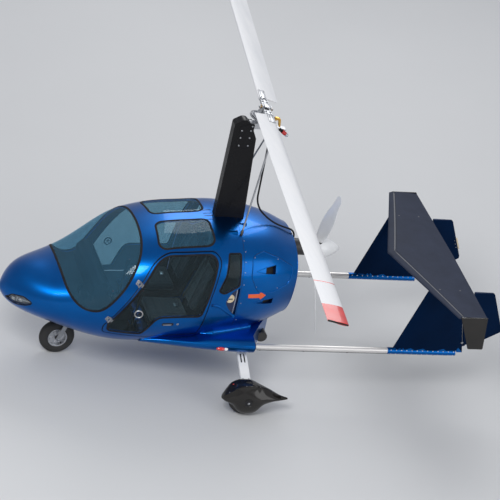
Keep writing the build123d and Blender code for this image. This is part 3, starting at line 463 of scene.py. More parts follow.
def between(points, loops):
    """Which points lie in the first loop and in none of the others."""
    keep = inside(points, loops[0])
    for loop in loops[1:]:
        keep &= ~inside(points, loop)
    return keep


# Making pieces

def stands_for(piece, node):
    """Hides the CAD node whose place in the look the piece takes; the piece itself is not used."""
    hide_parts(node)


def shade(bm, angle):
    """Turns the faces outward and keeps edges sharp past an angle in degrees."""
    bmesh.ops.recalc_face_normals(bm, faces=bm.faces)
    for edge in bm.edges:
        if len(edge.link_faces) == 2:
            edge.smooth = edge.calc_face_angle(0) < math.radians(angle)
    for face in bm.faces:
        face.smooth = True


def riding(name, mesh, mat, body):
    """A piece with that mesh and finish that rides on a body."""
    mesh.materials.append(MATS[mat])
    obj = bpy.data.objects.new(name, mesh)
    scene.collection.objects.link(obj)
    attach(obj, body)
    return obj


def settle(bm, name, mat, place=None, body="airframe", angle=35):
    """Makes a piece of a bmesh that was built in mm."""
    bmesh.ops.transform(bm, matrix=(place or Matrix()) @ Matrix.Scale(0.001, 4), verts=bm.verts)
    shade(bm, angle)
    mesh = bpy.data.meshes.new(name)
    bm.to_mesh(mesh)
    bm.free()
    return riding(name, mesh, mat, body)


def mesh_object(name, verts, faces, mat, body="airframe", normals=None):
    """A piece from vertices and faces. normals holds one vector per face corner."""
    mesh = bpy.data.meshes.new(name)
    mesh.from_pydata([tuple(map(float, v)) for v in verts], [], faces)
    mesh.validate(clean_customdata=False)
    for poly in mesh.polygons:
        poly.use_smooth = True
    if normals is not None and len(normals) == len(mesh.loops):
        mesh.normals_split_custom_set([tuple(map(float, v)) for v in normals])
    return riding(name, mesh, mat, body)


# The flat's width of one step of phi, a grid point's least gap from an edge in cells, points measured at once
PHI_SCALE, CLEARANCE, BATCH = 12.0, 0.42, 4000


def patch(name, loops, mat, thick, depth=0.0, body="airframe", cell=0.36, lining=None, point=skin,
          normal=skin_normal):
    """A curved panel of the body between (u, phi) loops: the first bounds it, the rest are cut out."""
    loops = [np.asarray(loop, float) * (1, PHI_SCALE) for loop in loops]
    low, high = loops[0].min(0), loops[0].max(0)
    us = np.arange(low[0] + cell / 2, high[0], cell)
    ps = np.arange(low[1] + cell / 2, high[1], cell)
    grid = np.stack(np.meshgrid(us, ps, indexing="ij"), -1).reshape(-1, 2)
    grid = grid[between(grid, loops)]
    border = np.concatenate(loops)
    far = np.ones(len(grid), bool)
    for start in range(0, len(grid), BATCH):
        part = grid[start:start + BATCH]
        gap = ((part[:, None, :] - border[None]) ** 2).sum(-1).min(1)
        far[start:start + BATCH] = gap > (CLEARANCE * cell) ** 2
    pts = np.concatenate([border, grid[far]])
    edges, first = [], 0
    for loop in loops:
        n = len(loop)
        edges += [(first + i, first + (i + 1) % n) for i in range(n)]
        first += n
    got = geometry.delaunay_2d_cdt([Vector(p) for p in pts], edges, [], 0, 1e-7)
    flat = np.array([tuple(v) for v in got[0]])
    tris = np.array([tuple(f) for f in got[2]])
    tris = tris[between(flat[tris].mean(1), loops)]
    u, phi = flat[:, 0], flat[:, 1] / PHI_SCALE
    p, n = point(u, phi), normal(u, phi)
    a, b, c = (p[tris[:, k]] for k in range(3))
    flip = (np.cross(b - a, c - a) * n[tris[:, 0]]).sum(1) < 0
    tris[flip] = tris[flip][:, ::-1]
    outer, inner = p - n * depth / 1000, p - n * (depth + thick) / 1000
    count = len(p)
    faces = [tuple(map(int, t)) for t in tris] + [tuple(int(i) + count for i in t[::-1]) for t in tris]
    corner = [n[i] for t in tris for i in t] + [-n[i] for t in tris for i in t[::-1]]
    seen = dict.fromkeys((int(t[k]), int(t[(k + 1) % 3])) for t in tris for k in range(3))
    keel = np.abs(np.abs(phi) - 2) < 1e-6
    for i, j in seen:
        if (j, i) in seen or (keel[i] and keel[j]) or np.linalg.norm(p[i] - p[j]) < 1e-7:
            continue
        wall = np.cross(inner[i] - outer[i], outer[j] - outer[i])
        wall /= max(np.linalg.norm(wall), 1e-12)
        faces.append((i, i + count, j + count, j))
        corner += [wall] * 4
    obj = mesh_object(name, np.concatenate([outer, inner]), faces, mat, body, corner)
    if lining:
        obj.data.materials.append(MATS[lining])
        for poly in obj.data.polygons[len(tris):2 * len(tris)]:
            poly.material_index = 1
    return obj


def sweep_loop(name, points, normals, mat, width, height, body="airframe", closed=True, sink=0.5):
    """A flat-topped strip laid along a 3-D path on a surface. Sizes in mm."""
    points, normals = np.asarray(points, float), np.asarray(normals, float)
    if closed:
        tangent = np.roll(points, -1, 0) - np.roll(points, 1, 0)
    else:
        tangent = np.gradient(points, axis=0)
    tangent /= np.linalg.norm(tangent, axis=1, keepdims=True)
    across = np.cross(normals, tangent)
    across /= np.linalg.norm(across, axis=1, keepdims=True)
    w, h, s = width / 2000, height / 1000, sink / 1000
    profile = [(-w, -s), (-w, h * 0.55), (-w * 0.72, h), (w * 0.72, h), (w, h * 0.55), (w, -s)]
    k = len(profile)
    verts = [p + a * du + n * dv for p, a, n in zip(points, across, normals) for du, dv in profile]
    faces = []
    count = len(points)
    for i in range(count if closed else count - 1):
        j = (i + 1) % count
        for m in range(k):
            q = (m + 1) % k
            faces.append((i * k + m, i * k + q, j * k + q, j * k + m))
    if not closed:
        faces.append(tuple(range(k)))
        faces.append(tuple((count - 1) * k + m for m in reversed(range(k))))
    return mesh_object(name, verts, faces, mat, body)


def strip_on_skin(name, loop, mat, width, height, body="airframe", closed=True):
    u, phi = loop[:, 0], loop[:, 1]
    return sweep_loop(name, skin(u, phi), skin_normal(u, phi), mat, width, height, body, closed)


def grid_piece(name, rows, mat, body="airframe", closed=True, caps=True):
    """A skin over rows of points: closed joins each row's ends."""
    rows = np.asarray(rows, float)
    n, k = rows.shape[:2]
    faces = []
    for i in range(n - 1):
        for j in range(k if closed else k - 1):
            b = (j + 1) % k
            faces.append((i * k + j, i * k + b, (i + 1) * k + b, (i + 1) * k + j))
    if caps:
        faces.append(tuple(reversed(range(k))))
        faces.append(tuple((n - 1) * k + j for j in range(k)))
    obj = mesh_object(name, rows.reshape(-1, 3), faces, mat, body)
    bm = bmesh.new()
    bm.from_mesh(obj.data)
    bmesh.ops.remove_doubles(bm, verts=bm.verts, dist=1e-6)
    shade(bm, 35)
    bm.to_mesh(obj.data)
    bm.free()
    return obj


# Body panels

door_loop = rounded(DOOR)
glass_loop = rounded(DOOR_GLASS)
quarter_loop = rounded(QUARTER_WINDOW)
lamp_loop = rounded(NOSE_LAMP, step=8)
roof_loop = rounded(ROOF_WINDOW)
hatch_loop = rounded(HATCH, step=10)
recess_loop = rounded(RECESS, step=10)
along_edge = np.linspace(0, len(WINDSHIELD) - 1, 110)
edge_s, edge_z = (spline(range(len(WINDSHIELD)), [row[k] for row in WINDSHIELD])(along_edge) for k in (0, 1))
past_crown = [(WINDSHIELD[-1][0], 1900), (WINDSHIELD[0][0], 1900)]
windshield_loop = over_crown(np.array(list(zip(edge_s, edge_z)) + past_crown))
SEAM_U, END_U = math.sqrt(COWL_SEAM), math.sqrt(COWL_END)


def seam_line(u0, u1, height, side, count=24):
    return [(u, phi_at(u * u, height, side)) for u in np.linspace(u0, u1, count)]


def span(a, b, count):
    return [tuple(np.array(a) + (np.array(b) - np.array(a)) * t) for t in np.linspace(0, 1, count)]


def joined(*runs):
    return np.array([run[i] for run in runs for i in range(len(run) - 1)])


def glazed(pane, seal, loop, node, glass, width, height=2.2, body="airframe"):
    """A pane in an opening of the body, with its rubber seal round it."""
    stands_for(patch(pane, [loop], glass, PANE_THICK, body=body), node)
    strip_on_skin(seal, loop, "seal", width, height, body)


low_end = phi_at(COWL_END, BELLY_SEAM)
low_seam = phi_at(COWL_SEAM, BELLY_SEAM)
shell_outer = joined(
    span((0, -2), (END_U, -2), 150),
    span((END_U, -2), (END_U, -low_end), 20),
    seam_line(END_U, SEAM_U, BELLY_SEAM, -1),
    span((SEAM_U, -low_seam), (SEAM_U, low_seam), 110),
    seam_line(SEAM_U, END_U, BELLY_SEAM, 1),
    span((END_U, low_end), (END_U, 2), 20),
    span((END_U, 2), (0, 2), 150),
    span((0, 2), (0, -2), 120),
)
holes, cowl_holes = [windshield_loop], []
for side in SIDES.values():
    holes += [side_loop(door_loop, side), side_loop(quarter_loop, side), side_loop(lamp_loop, side),
              plan_loop(roof_loop, side), side_loop(recess_loop, side)]
    cowl_holes += [side_loop(rounded(outline, step=6), side) for outline in INLETS]
shell = patch("cabin_skin", [shell_outer] + holes, "blue", SHELL_THICK, lining="headliner")
stands_for(shell, "cabin_shell")
cowl_outer = joined(
    span((SEAM_U, -low_seam), (END_U, -low_end), 2)[:1] + seam_line(SEAM_U, END_U, BELLY_SEAM, -1)[1:],
    span((END_U, -low_end), (END_U, low_end), 110),
    seam_line(END_U, SEAM_U, BELLY_SEAM, 1),
    span((SEAM_U, low_seam), (SEAM_U, -low_seam), 110),
)
cowl = patch("engine_cowl_skin", [cowl_outer] + cowl_holes, "blue", 8, lining="dark_metal")
stands_for(cowl, "engine_cowl")
glazed("windshield_pane", "windshield_seal", windshield_loop, "windshield", "glass", 24)

for name, side in SIDES.items():
    body = "cabin_door_" + name
    door_glass = side_loop(glass_loop, side)
    panel = patch("door_panel_" + name, [side_loop(grown(door_loop, -DOOR_GAP), side), door_glass], "blue",
                  SHELL_THICK, body=body, lining="headliner")
    stands_for(panel, "door_" + name)
    glazed("door_pane_" + name, "door_glass_seal_" + name, door_glass, "door_glass_" + name, "door_glass", 22,
           body=body)
    glazed("quarter_pane_" + name, "quarter_seal_" + name, side_loop(quarter_loop, side), "cabin_windows",
           "door_glass", 18, 2.0)
    glazed("roof_pane_" + name, "roof_seal_" + name, plan_loop(roof_loop, side), "cabin_windows", "glass", 22)
    lamp = patch("lamp_cover_" + name, [side_loop(lamp_loop, side)], "lens", 3)
    stands_for(lamp, "nose_lamps")
    patch("lamp_bowl_" + name, [side_loop(grown(lamp_loop, 4), side)], "lamp_grey", 4, depth=27)


# Shapes for the small pieces

def frame_on(point, normal, along=(0, 1, 0)):
    """A frame in metres: Z out along the normal, X near to along."""
    n = Vector(normal).normalized()
    t = Vector(along) - n * Vector(along).dot(n)
    t.normalize()
    place = Matrix((t, n.cross(t), n)).transposed().to_4x4()
    place.translation = Vector(point)
    return place


def moved(x, y, z):
    """A shift in mm."""
    return Matrix.Translation((x / 1000, y / 1000, z / 1000))


def turned(angle, axis):
    return Matrix.Rotation(math.radians(angle), 4, axis)


def cad_frame(x, station, z, angle=0.0, axis="X"):
    """A frame at a station and height in mm, turned about one axis."""
    return moved(x, station - LENGTH / 2, z) @ turned(angle, axis)


def side_view(x, side=1):
    """A frame whose X is the station, Y the height and Z out to one side, in metres at x."""
    return Matrix(((0, 0, side, x), (1, 0, 0, -LENGTH / 2000), (0, 1, 0, 0), (0, 0, 0, 1)))


def around(radius, height, count, first=0.0):
    """Points round a circle in mm."""
    angles = [math.radians(first + 360 / count * k) for k in range(count)]
    return [(radius * math.cos(w), radius * math.sin(w), height) for w in angles]


def spots_at(place, points):
    """(point, normal) for points in mm on a frame, facing along its Z."""
    up = place.to_3x3() @ Vector((0, 0, 1))
    return [(place @ Vector([c / 1000 for c in point]), up) for point in points]


def fill_lathe(bm, profile, sides, closed, place=None):
    rings = []
    for r, h in profile:
        if r < 1e-6:
            rings.append([bm.verts.new((0, 0, h))])
        else:
            rings.append([bm.verts.new((r * math.cos(2 * math.pi * k / sides),
                                        r * math.sin(2 * math.pi * k / sides), h)) for k in range(sides)])
    new = [v for ring in rings for v in ring]
    pairs = list(zip(rings, rings[1:])) + ([(rings[-1], rings[0])] if closed else [])
    for a, b in pairs:
        for k in range(sides):
            q = (k + 1) % sides
            if len(a) == 1 and len(b) == 1:
                continue
            if len(a) == 1:
                bm.faces.new((a[0], b[q], b[k]))
            elif len(b) == 1:
                bm.faces.new((a[k], a[q], b[0]))
            else:
                bm.faces.new((a[k], a[q], b[q], b[k]))
    if place is not None:
        bmesh.ops.transform(bm, matrix=place, verts=new)


def lathe(name, profile, mat, place=None, body="airframe", sides=48, closed=False, angle=35):
    """A turned piece from (radius, height) in mm. Open profiles start and end at radius 0."""
    bm = bmesh.new()
    fill_lathe(bm, profile, sides, closed)
    return settle(bm, name, mat, place, body, angle)


def studs(name, spots, profile, mat, body="airframe", sides=14):
    """One small turned shape at each (point, normal)."""
    bm = bmesh.new()
    for point, normal in spots:
        place = frame_on(point, normal, Vector(normal).orthogonal())
        place.translation *= 1000
        fill_lathe(bm, profile, sides, False, place)
    return settle(bm, name, mat, None, body, 40)


def block(name, size, mat, place, bevel=3.0, body="airframe"):
    bm = bmesh.new()
    bmesh.ops.create_cube(bm, size=1)
    bmesh.ops.scale(bm, vec=size, verts=bm.verts)
    if bevel:
        bmesh.ops.bevel(bm, geom=bm.edges[:], offset=bevel, segments=2, profile=0.5, affect="EDGES")
    return settle(bm, name, mat, place, body, 60)


def plate(name, outline, thick, mat, place, bevel=1.0, body="airframe"):
    """A flat outline in mm, as thick as said along Z."""
    bm = bmesh.new()
    low = bm.faces.new([bm.verts.new((x, y, 0)) for x, y in outline])
    made = bmesh.ops.extrude_face_region(bm, geom=[low])
    top = [v for v in made["geom"] if isinstance(v, bmesh.types.BMVert)]
    bmesh.ops.translate(bm, vec=(0, 0, thick), verts=top)
    if bevel:
        edges = [e for e in bm.edges if all(abs(v.co.z - thick) < 1e-4 for v in e.verts)]
        bmesh.ops.bevel(bm, geom=edges, offset=bevel, segments=2, profile=0.5, affect="EDGES")
    return settle(bm, name, mat, place, body, 30)


def ball(name, size, mat, spot, sides, rows):
    """An ellipsoid of those half sizes, in mm."""
    bm = bmesh.new()
    bmesh.ops.create_uvsphere(bm, u_segments=sides, v_segments=rows, radius=1)
    bmesh.ops.scale(bm, vec=size, verts=bm.verts)
    bmesh.ops.translate(bm, vec=spot, verts=bm.verts)
    return settle(bm, name, mat)


def pipe(name, points, radius, mat, sides=10):
    """A round bar along points in mm."""
    path = [Vector(p) for p in points]
    bm = bmesh.new()
    side = None
    rings = []
    for i, p in enumerate(path):
        t = (path[min(i + 1, len(path) - 1)] - path[max(i - 1, 0)]).normalized()
        side = t.orthogonal().normalized() if side is None else (side - t * side.dot(t)).normalized()
        up = t.cross(side)
        rings.append([bm.verts.new(p + (side * math.cos(w) + up * math.sin(w)) * radius)
                      for w in (2 * math.pi * k / sides for k in range(sides))])
    for a, b in zip(rings, rings[1:]):
        for k in range(sides):
            q = (k + 1) % sides
            bm.faces.new((a[k], a[q], b[q], b[k]))
    bm.faces.new(list(reversed(rings[0])))
    bm.faces.new(rings[-1])
    return settle(bm, name, mat)


def disc(radius, low, high):
    """The profile of a plain disc."""
    return [(0, low), (radius, low), (radius, high), (0, high)]


def head(radius, low, shoulder, crown, high):
    """The profile of a bolt's head: its sides end at the shoulder, its flat top is crown wide."""
    return [(0, low), (radius, low), (radius, shoulder), (crown, high), (0, high)]


SCREW = [(0, -1), (5.5, -1), (5.5, 0.8), (4.4, 1.8), (1.6, 2.0), (1.4, 1.2), (0, 1.2)]
RIVET = [(0, -1), (5.5, -1), (5.2, 0.8), (3.6, 2.2), (1.6, 2.8), (0, 3.0)]
BOLT = [(0, -1), (13, -1), (13, 1.5), (9.5, 1.8), (9.5, 7), (8, 8.5), (0, 8.5)]


# The stub wings and the belly between them

# Station, half width, underside, widest height, top
BELLY_ROWS = np.array([
    (1350, 560, 440, 515, 556), (1600, 660, 436, 572, 604), (1850, 722, 436, 588, 628),
    (1905, 734, 436, 589, 640), (1990, 748, 436, 590, 668), (2100, 762, 436, 590, 680),
    (2350, 786, 438, 588, 684), (2800, 790, 442, 586, 682),
])
# The trailing edge: distance out, station
BELLY_TRAIL = np.array([(0, 2750), (250, 2750), (470, 2600), (655, 2487), (2000, 2487)])
BELLY_FRONT = math.sqrt(1360)
BELLY_ROUND = 0.75


def belly_size(u):
    s = u * u
    return [sum(np.interp(s + d, BELLY_ROWS[:, 0], BELLY_ROWS[:, k]) for d in (-40, -20, 0, 20, 40)) / 5
            for k in range(1, 5)]


def belly(u, phi):
    """Points on the belly's section, with phi as for the body."""
    u, phi = np.broadcast_arrays(np.asarray(u, float), np.asarray(phi, float))
    return section(u, phi, *belly_size(u), BELLY_ROUND, BELLY_ROUND)


def belly_normal(u, phi):
    u, phi = np.broadcast_arrays(np.asarray(u, float), np.asarray(phi, float))
    return outward(belly, u, phi, 0.75, 0.56)


def trail_at(out):
    """The station of the trailing edge at that distance out."""
    return float(np.interp(out, BELLY_TRAIL[:, 0], BELLY_TRAIL[:, 1]))


def belly_end(phi):
    """The root of the station where the trailing edge cuts the belly at phi."""
    s = float(BELLY_TRAIL[2, 1])
    for _ in range(12):
        s = trail_at(abs(float(belly(math.sqrt(s), phi)[0])) * 1000)
    return math.sqrt(s)


edge_phis = np.concatenate([np.linspace(2, 0.02, 150), np.linspace(0, -1.98, 150), [-2]])
belly_loop = joined(
    span((BELLY_FRONT, -2), (BELLY_FRONT, 2), 60),
    span((BELLY_FRONT, 2), (belly_end(2), 2), 60),
    [(belly_end(p), p) for p in edge_phis],
    span((belly_end(2), -2), (BELLY_FRONT, -2), 60),
)
belly_skin = patch("belly_skin", [belly_loop], "blue", 6, point=belly, normal=belly_normal, cell=0.5)
stands_for(belly_skin, "cabin_shell")

rows = []
for x in np.concatenate([np.linspace(-1, -0.82, 24), np.linspace(-0.81, 0.81, 90), np.linspace(0.82, 1, 24)]):
    end = trail_at(abs(x) * 787)
    half, low, mid, top = belly_size(math.sqrt(end))
    out = np.interp(-abs(x), -arc_out(TABLE_T, BELLY_ROUND), TABLE_T)
    rise = float(np.interp(out, TABLE_T, arc_up(TABLE_T, BELLY_ROUND)))
    rows.append([(x * half / 1000, (end - LENGTH / 2) / 1000, (mid + (h - mid) * rise) / 1000)
                 for h in (low, mid, top)])
grid_piece("belly_trailing_face", rows, "blue", closed=False, caps=False)


# The fillet's reach out on the wing and up the body, in mm, and how far its ends run on straight
FILLET_OUT, FILLET_UP, FILLET_TENSION = 78, 96, 0.62


def fairing(name, side, stations):
    """A hollow fillet from the body's side down onto the stub wing's top."""
    rows = []
    for s, grow in stations:
        u = math.sqrt(s)
        top = float(belly_size(u)[3])
        wing = np.linspace(0.15, 0.98, 160)
        points = belly(u, side * wing)
        hull_phi = [phi_at(s, z, side) for z in points[:, 2] * 1000]
        gap = np.abs(points[:, 0]) - np.abs(skin(u, np.array(hull_phi))[:, 0])
        meet = int(np.argmax(gap > 0))
        at_x = abs(points[meet, 0]) * 1000
        lay = int(np.argmin(np.abs(np.abs(points[:, 0]) * 1000 - (at_x + FILLET_OUT * grow))))
        high = phi_at(s, top + FILLET_UP * grow, side)
        start, end = skin(u, high), points[lay]
        f = 0.004
        down = skin(u, high + side * f) - start
        over = belly(u, side * (wing[lay] + f)) - end
        reach = FILLET_TENSION * np.linalg.norm(end - start)
        a = start + down / np.linalg.norm(down) * reach
        b = end - over / np.linalg.norm(over) * reach
        rows.append([cubic(start, a, b, end, t) for t in np.linspace(0, 1, 13)])
    return grid_piece(name, rows, "blue", closed=False, caps=False)


stations = [(s, min(1.0, (s - 1940) / 130)) for s in np.linspace(1946, 2486, 46)]
for name, side in SIDES.items():
    fairing("stub_wing_fairing_" + name, side, stations)


# Marks, hatches and fastenings on the skin

def sunk_skin(first, last, deep, power, least):
    """The body's surface, sinking by so many mm from one station to another."""
    def point(u, phi):
        depth = deep * np.clip((np.asarray(u) ** 2 - first) / (last - first), 0, 1) ** power + least
        return skin(u, phi) - skin_normal(u, phi) * depth[..., None] / 1000
    return point


def walled(name, loop, floor):
    """The wall from an outline on the body down to a sunk floor, in a darker blue that paints the shade in
    the hollow.
    """
    u, phi = loop[:, 0], loop[:, 1]
    grid_piece(name, [skin(u, phi), floor(u, phi)], "recess_shade", caps=False)


INLET_DEPTH, INLET_POWER, INLET_LEAST, SHADE_FROM = 44, 1.5, 0.4, 0.52
scooped = sunk_skin(2105, 2250, 30, 1.2, 2)
CAP_STATION, CAP_HEIGHT = 2160, 1084
FILLER_CAP = [(0, -12), (45, -12), (45, 3), (42, 6), (36, 6), (35, 3.5), (26, 3.5), (25, 6), (9, 6.5),
              (0, 6.5)]
for name, side in SIDES.items():
    strip_on_skin("hatch_edge_" + name, side_loop(hatch_loop, side), "blue", 9, 3.4)
    strip_on_skin("hatch_line_" + name, side_loop(grown(hatch_loop, 5), side), "seal", 3, 0.7)
    patch("arrow_" + name, [side_loop(rounded(ARROW, step=8), side)], "orange", 0.5, depth=-0.7)
    for number, outline in enumerate(INLETS):
        shape = rounded(outline, step=6)
        first, last = shape[:, 0].min(), shape[:, 0].max()
        sunk = sunk_skin(first, last, INLET_DEPTH, INLET_POWER, INLET_LEAST)
        slope = patch(f"inlet_ramp_{number}_{name}", [side_loop(grown(shape, 1), side)], "blue", 2,
                      point=sunk, cell=0.12)
        # The ramp's faces past SHADE_FROM of its length are painted black as the shade deep in the inlet.
        slope.data.materials.append(MATS["shade_black"])
        for poly in slope.data.polygons:
            if poly.center.y * 1000 + LENGTH / 2 > first + SHADE_FROM * (last - first):
                poly.material_index = 1
        walled(f"inlet_wall_{number}_{name}", side_loop(shape, side), sunk)
        strip_on_skin(f"inlet_lip_{number}_{name}", side_loop(shape, side), "blue", 6, 2.2)
    # The recess floor and its walls are painted a darker blue as the shade inside the recess.
    patch("side_recess_" + name, [side_loop(grown(recess_loop, 1), side)], "recess_shade", 3, point=scooped, cell=0.2)
    walled("recess_wall_" + name, side_loop(recess_loop, side), scooped)
    u, phi = math.sqrt(CAP_STATION), phi_at(CAP_STATION, CAP_HEIGHT, side)
    place = frame_on(scooped(np.array([u]), np.array([phi]))[0], skin_normal(u, phi))
    lathe("filler_cap_" + name, FILLER_CAP, "beige", place)
    block("filler_tab_" + name, (46, 9, 7), "dark_metal", place @ moved(0, 0, 8), 2)

# Station, height
CREASE = ((1972, 1019), (2010, 1013), (2050, 1000), (2090, 978), (2130, 948), (2170, 917), (2210, 888),
          (2246, 863))
SKIN_SCREWS = {
    "cowl": ((2272, 1593), (2272, 1530), (2273, 1452), (2275, 1359), (2277, 1235), (2280, 1030), (2280, 821),
             (2376, 712), (2480, 712), (2585, 712), (2700, 712)),
    "hatch": ((2372, 1483), (2633, 1446), (2415, 1205), (2658, 1165)),
    "belly": ((2240, 672), (2330, 672), (2420, 672)),
}
for name, side in SIDES.items():
    strip_on_skin("side_crease_" + name, side_loop(CREASE, side), "blue", 26, 5, closed=False)
    for label, pairs in SKIN_SCREWS.items():
        studs(f"{label}_screws_{name}", [on_skin(s, z, side) for s, z in pairs], SCREW, "steel")


# Door furniture

# Station, height
HANDLE, LOCK, VENT = (1566, 778), (1669, 780), (1246, 892)
HANDLE_DISH = ((-62, -17, 16), (62, -17, 16), (62, 17, 16), (-62, 17, 16))
HANDLE_LEVER = ((-50, -7, 6), (38, -9, 8), (38, 9, 8), (-50, 7, 6))
DOOR_LOCK = [(0, -2), (13, -2), (13, 2), (11, 3.5), (7, 3.5), (6.5, 2.5), (0, 2.5)]
VENT_RING = [(34, -8), (44, -8), (44, 2.5), (41, 5.5), (37, 5.5), (34, 3)]
for name, side in SIDES.items():
    body = "cabin_door_" + name
    place = frame_on(*on_skin(*HANDLE, side))
    plate("handle_dish_" + name, rounded(HANDLE_DISH, step=30), 1.2, "trim_black", place, 0.6, body)
    plate("handle_lever_" + name, rounded(HANDLE_LEVER, step=30), 9, "steel", place @ moved(0, 0, 2), 2.5,
          body)
    lathe("door_lock_" + name, DOOR_LOCK, "steel", frame_on(*on_skin(*LOCK, side)), body)
    place = frame_on(*on_skin(*VENT, side))
    lathe("vent_ring_" + name, VENT_RING, "alloy", place, body, closed=True)
    for k in range(3):
        spoke = place @ turned(60 * k, "Z") @ moved(0, 0, -1)
        block(f"vent_spoke_{k}_{name}", (68, 5, 3), "trim_black", spoke, 1, body)
    strip_on_skin("door_frame_seal_" + name, side_loop(grown(door_loop, 1.5), side), "seal", 5, 0.5)


# Hinge leaves, knuckles, webs and screws

# Station, height, distance out
HINGES = ((1214, 1208, 673), (986, 775, 639))
KNUCKLE = [(0, -9.3), (7.2, -9.3), (7.8, -8.7), (7.8, 8.7), (7.2, 9.3), (0, 9.3)]
LEAF_SCREW = [(0, -1), (4.5, -1), (4.5, 0.6), (3.2, 1.5), (1.2, 1.6), (1, 0.8), (0, 0.8)]
hinge_line = np.array(HINGES[0], float) - HINGES[1]
along = hinge_line[:2] / math.hypot(*hinge_line[:2])
across = np.array((along[1], -along[0]))
for name, side in SIDES.items():
    door = "cabin_door_" + name
    # Label, owner, node, first and last edge from the pin, half height, web's edge, places of the webs
    leaves = ((1, "airframe", "door_hinges", -36, -9, 25, -12, (-20, 20)),
              (0, door, "hinge_leaves_" + name, 10, 36, 17, 13, (0,)))
    way = Vector((side * hinge_line[2], hinge_line[0], hinge_line[1])).normalized()
    for number, (s, z, x) in enumerate(HINGES):
        axis = frame_on(Vector((side * x, s - LENGTH / 2, z)) / 1000, way, (side, 0, 0))

        def leaf_spot(out, up):
            return np.array((s, z)) + along * up + across * out

        for k, (_, owner, node, *_) in zip((-1, 0, 1), (leaves[0], leaves[1], leaves[0])):
            knuckle = lathe(f"hinge_knuckle_{number}_{k + 1}_{name}", KNUCKLE, "steel",
                            axis @ moved(0, 0, 20 * k), owner, sides=28)
            stands_for(knuckle, node)
        for label, owner, node, first, last, tall, foot_edge, webs in leaves:
            ending = f"{number}_{label}_{name}"
            outline = [(*leaf_spot(out, up), r) for out, up, r in
                       ((first, -tall, 5), (last, -tall, 3), (last, tall, 3), (first, tall, 5))]
            loop = side_loop(rounded(outline, step=6, arc=4), side)
            leaf = patch("hinge_leaf_" + ending, [loop], "steel", 4, depth=-4, body=owner, cell=0.08)
            stands_for(leaf, node)
            middle = (first + last) / 2
            spots = [on_skin(*leaf_spot(middle, up), side, 4) for up in (-tall * 0.55, tall * 0.55)]
            studs("hinge_screws_" + ending, spots, LEAF_SCREW, "dark_metal", owner, 12)
            for up in webs:
                foot = Vector(on_skin(*leaf_spot(foot_edge, up), side)[0])
                top = axis @ Vector((0, 0, up / 1000))
                size = (17, 8, (top - foot).length * 1000)
                block(f"hinge_web_{number}_{label}_{up + 20}_{name}", size, "steel",
                      frame_on((foot + top) / 2, top - foot, way), 1, owner)


# Roof slots and the blisters that the control rods enter

# Distance out, first and last station, for the blisters with their width and height too
ROOF_SLOTS = ((24, 1941, 2030), (90, 1949, 2032))
BLISTERS = (("outer", 305, 2112, 2216, 62, 24), ("inner", 160, 2262, 2345, 54, 20))
for side in SIDES.values():
    for out, first, last in ROOF_SLOTS:
        line = np.array([(math.sqrt(s), phi_out(s, out, side)) for s in np.linspace(first, last, 8)])
        strip_on_skin(f"roof_slot_{out}_{side + 1}", line, "trim_black", 9, 1.2, closed=False)


def blister(name, out, first, last, wide, high, side):
    """A bulge with an open mouth at its rear, where a black sheet just inside paints the shade within."""
    breadths = np.linspace(-1, 1, 15)
    rows = []
    for t in np.linspace(0, 1, 12):
        s = first + (last - first) * t
        u, width = math.sqrt(s), wide / 2 * (0.15 + 0.85 * t ** 0.7)
        phis = [phi_out(s, out + v * width, side) for v in breadths]
        lifts = [high * t ** 1.1 * (1 - v * v) ** 0.8 - 0.5 for v in breadths]
        rows.append([skin(u, phi) + skin_normal(u, phi) * lift / 1000 for phi, lift in zip(phis, lifts)])
    grid_piece(name, rows, "blue", closed=False, caps=False)
    inward = np.array((0, 0.006, 0))
    base = [skin(math.sqrt(last), phi_out(last, out + v * wide / 2, side)) - (0, 0, 0.004) for v in breadths]
    grid_piece(name + "_mouth", [[p - inward for p in rows[-1]], [p - inward for p in base]], "shade_black",
               closed=False, caps=False)


for name, side in SIDES.items():
    for label, *sizes in BLISTERS:
        blister(f"rod_blister_{label}_{name}", *sizes, side)


# Rotor: head fittings, ring gear, hub bar and blades

HUB = cad_frame(0, 2344, 2874, -10)
BLADES = HUB @ turned(-6.5, "Z")
BLADE_ROOT, BLADE_TIP, RED_TIP, RED_BAND = 182, 4300, 3990, (3560, 3575)
BLADE_CHORD, BLADE_THICK = 205, 26
TOWER, ROTOR = "rotor_mast_tower", "rotor_blades"


def foil_points(chord, thick, count=18):
    """A blade section round from its trailing edge: (chordwise, height) in mm, leading edge ahead."""
    nose, half = chord * 0.27, thick / 2
    tail = nose - chord
    top = []
    for t in np.linspace(1, 0, count):
        top.append((2 * t * (1 - t) * tail * 0.4 + t * t * tail,
                    (1 - t) ** 2 * half + 2 * t * (1 - t) * half + t * t))
    for t in np.linspace(0, 1, count)[1:]:
        top.append((cubic(0, 0.55 * nose, nose, nose, t), cubic(half, half, 0.7 * half, 0, t)))
    return top + [(x, -z) for x, z in reversed(top[:-1])]


def rotor_blade(name, place):
    section = foil_points(BLADE_CHORD, BLADE_THICK)
    marks = [*RED_BAND, RED_TIP]
    spans = [BLADE_ROOT, BLADE_ROOT + 4, *np.linspace(200, BLADE_TIP - 4, 60), BLADE_TIP]
    spans = sorted(set(spans + marks + [mark + 0.5 for mark in marks]))
    rows = []
    for r in spans:
        scale = 0.985 if r in (BLADE_ROOT, BLADE_TIP) else 1.0
        rows.append([(r, x * scale, z * scale) for x, z in section])
    matrix = np.array(place)
    points = np.array(rows) / 1000 @ matrix[:3, :3].T + matrix[:3, 3]
    obj = grid_piece(name, points, "blade_white", ROTOR)
    obj.data.materials.append(MATS["red"])
    inverse = place.inverted()
    for poly in obj.data.polygons:
        r = (inverse @ poly.center).x * 1000
        poly.material_index = 1 if r > RED_TIP or RED_BAND[0] < r < RED_BAND[1] else 0
    return obj


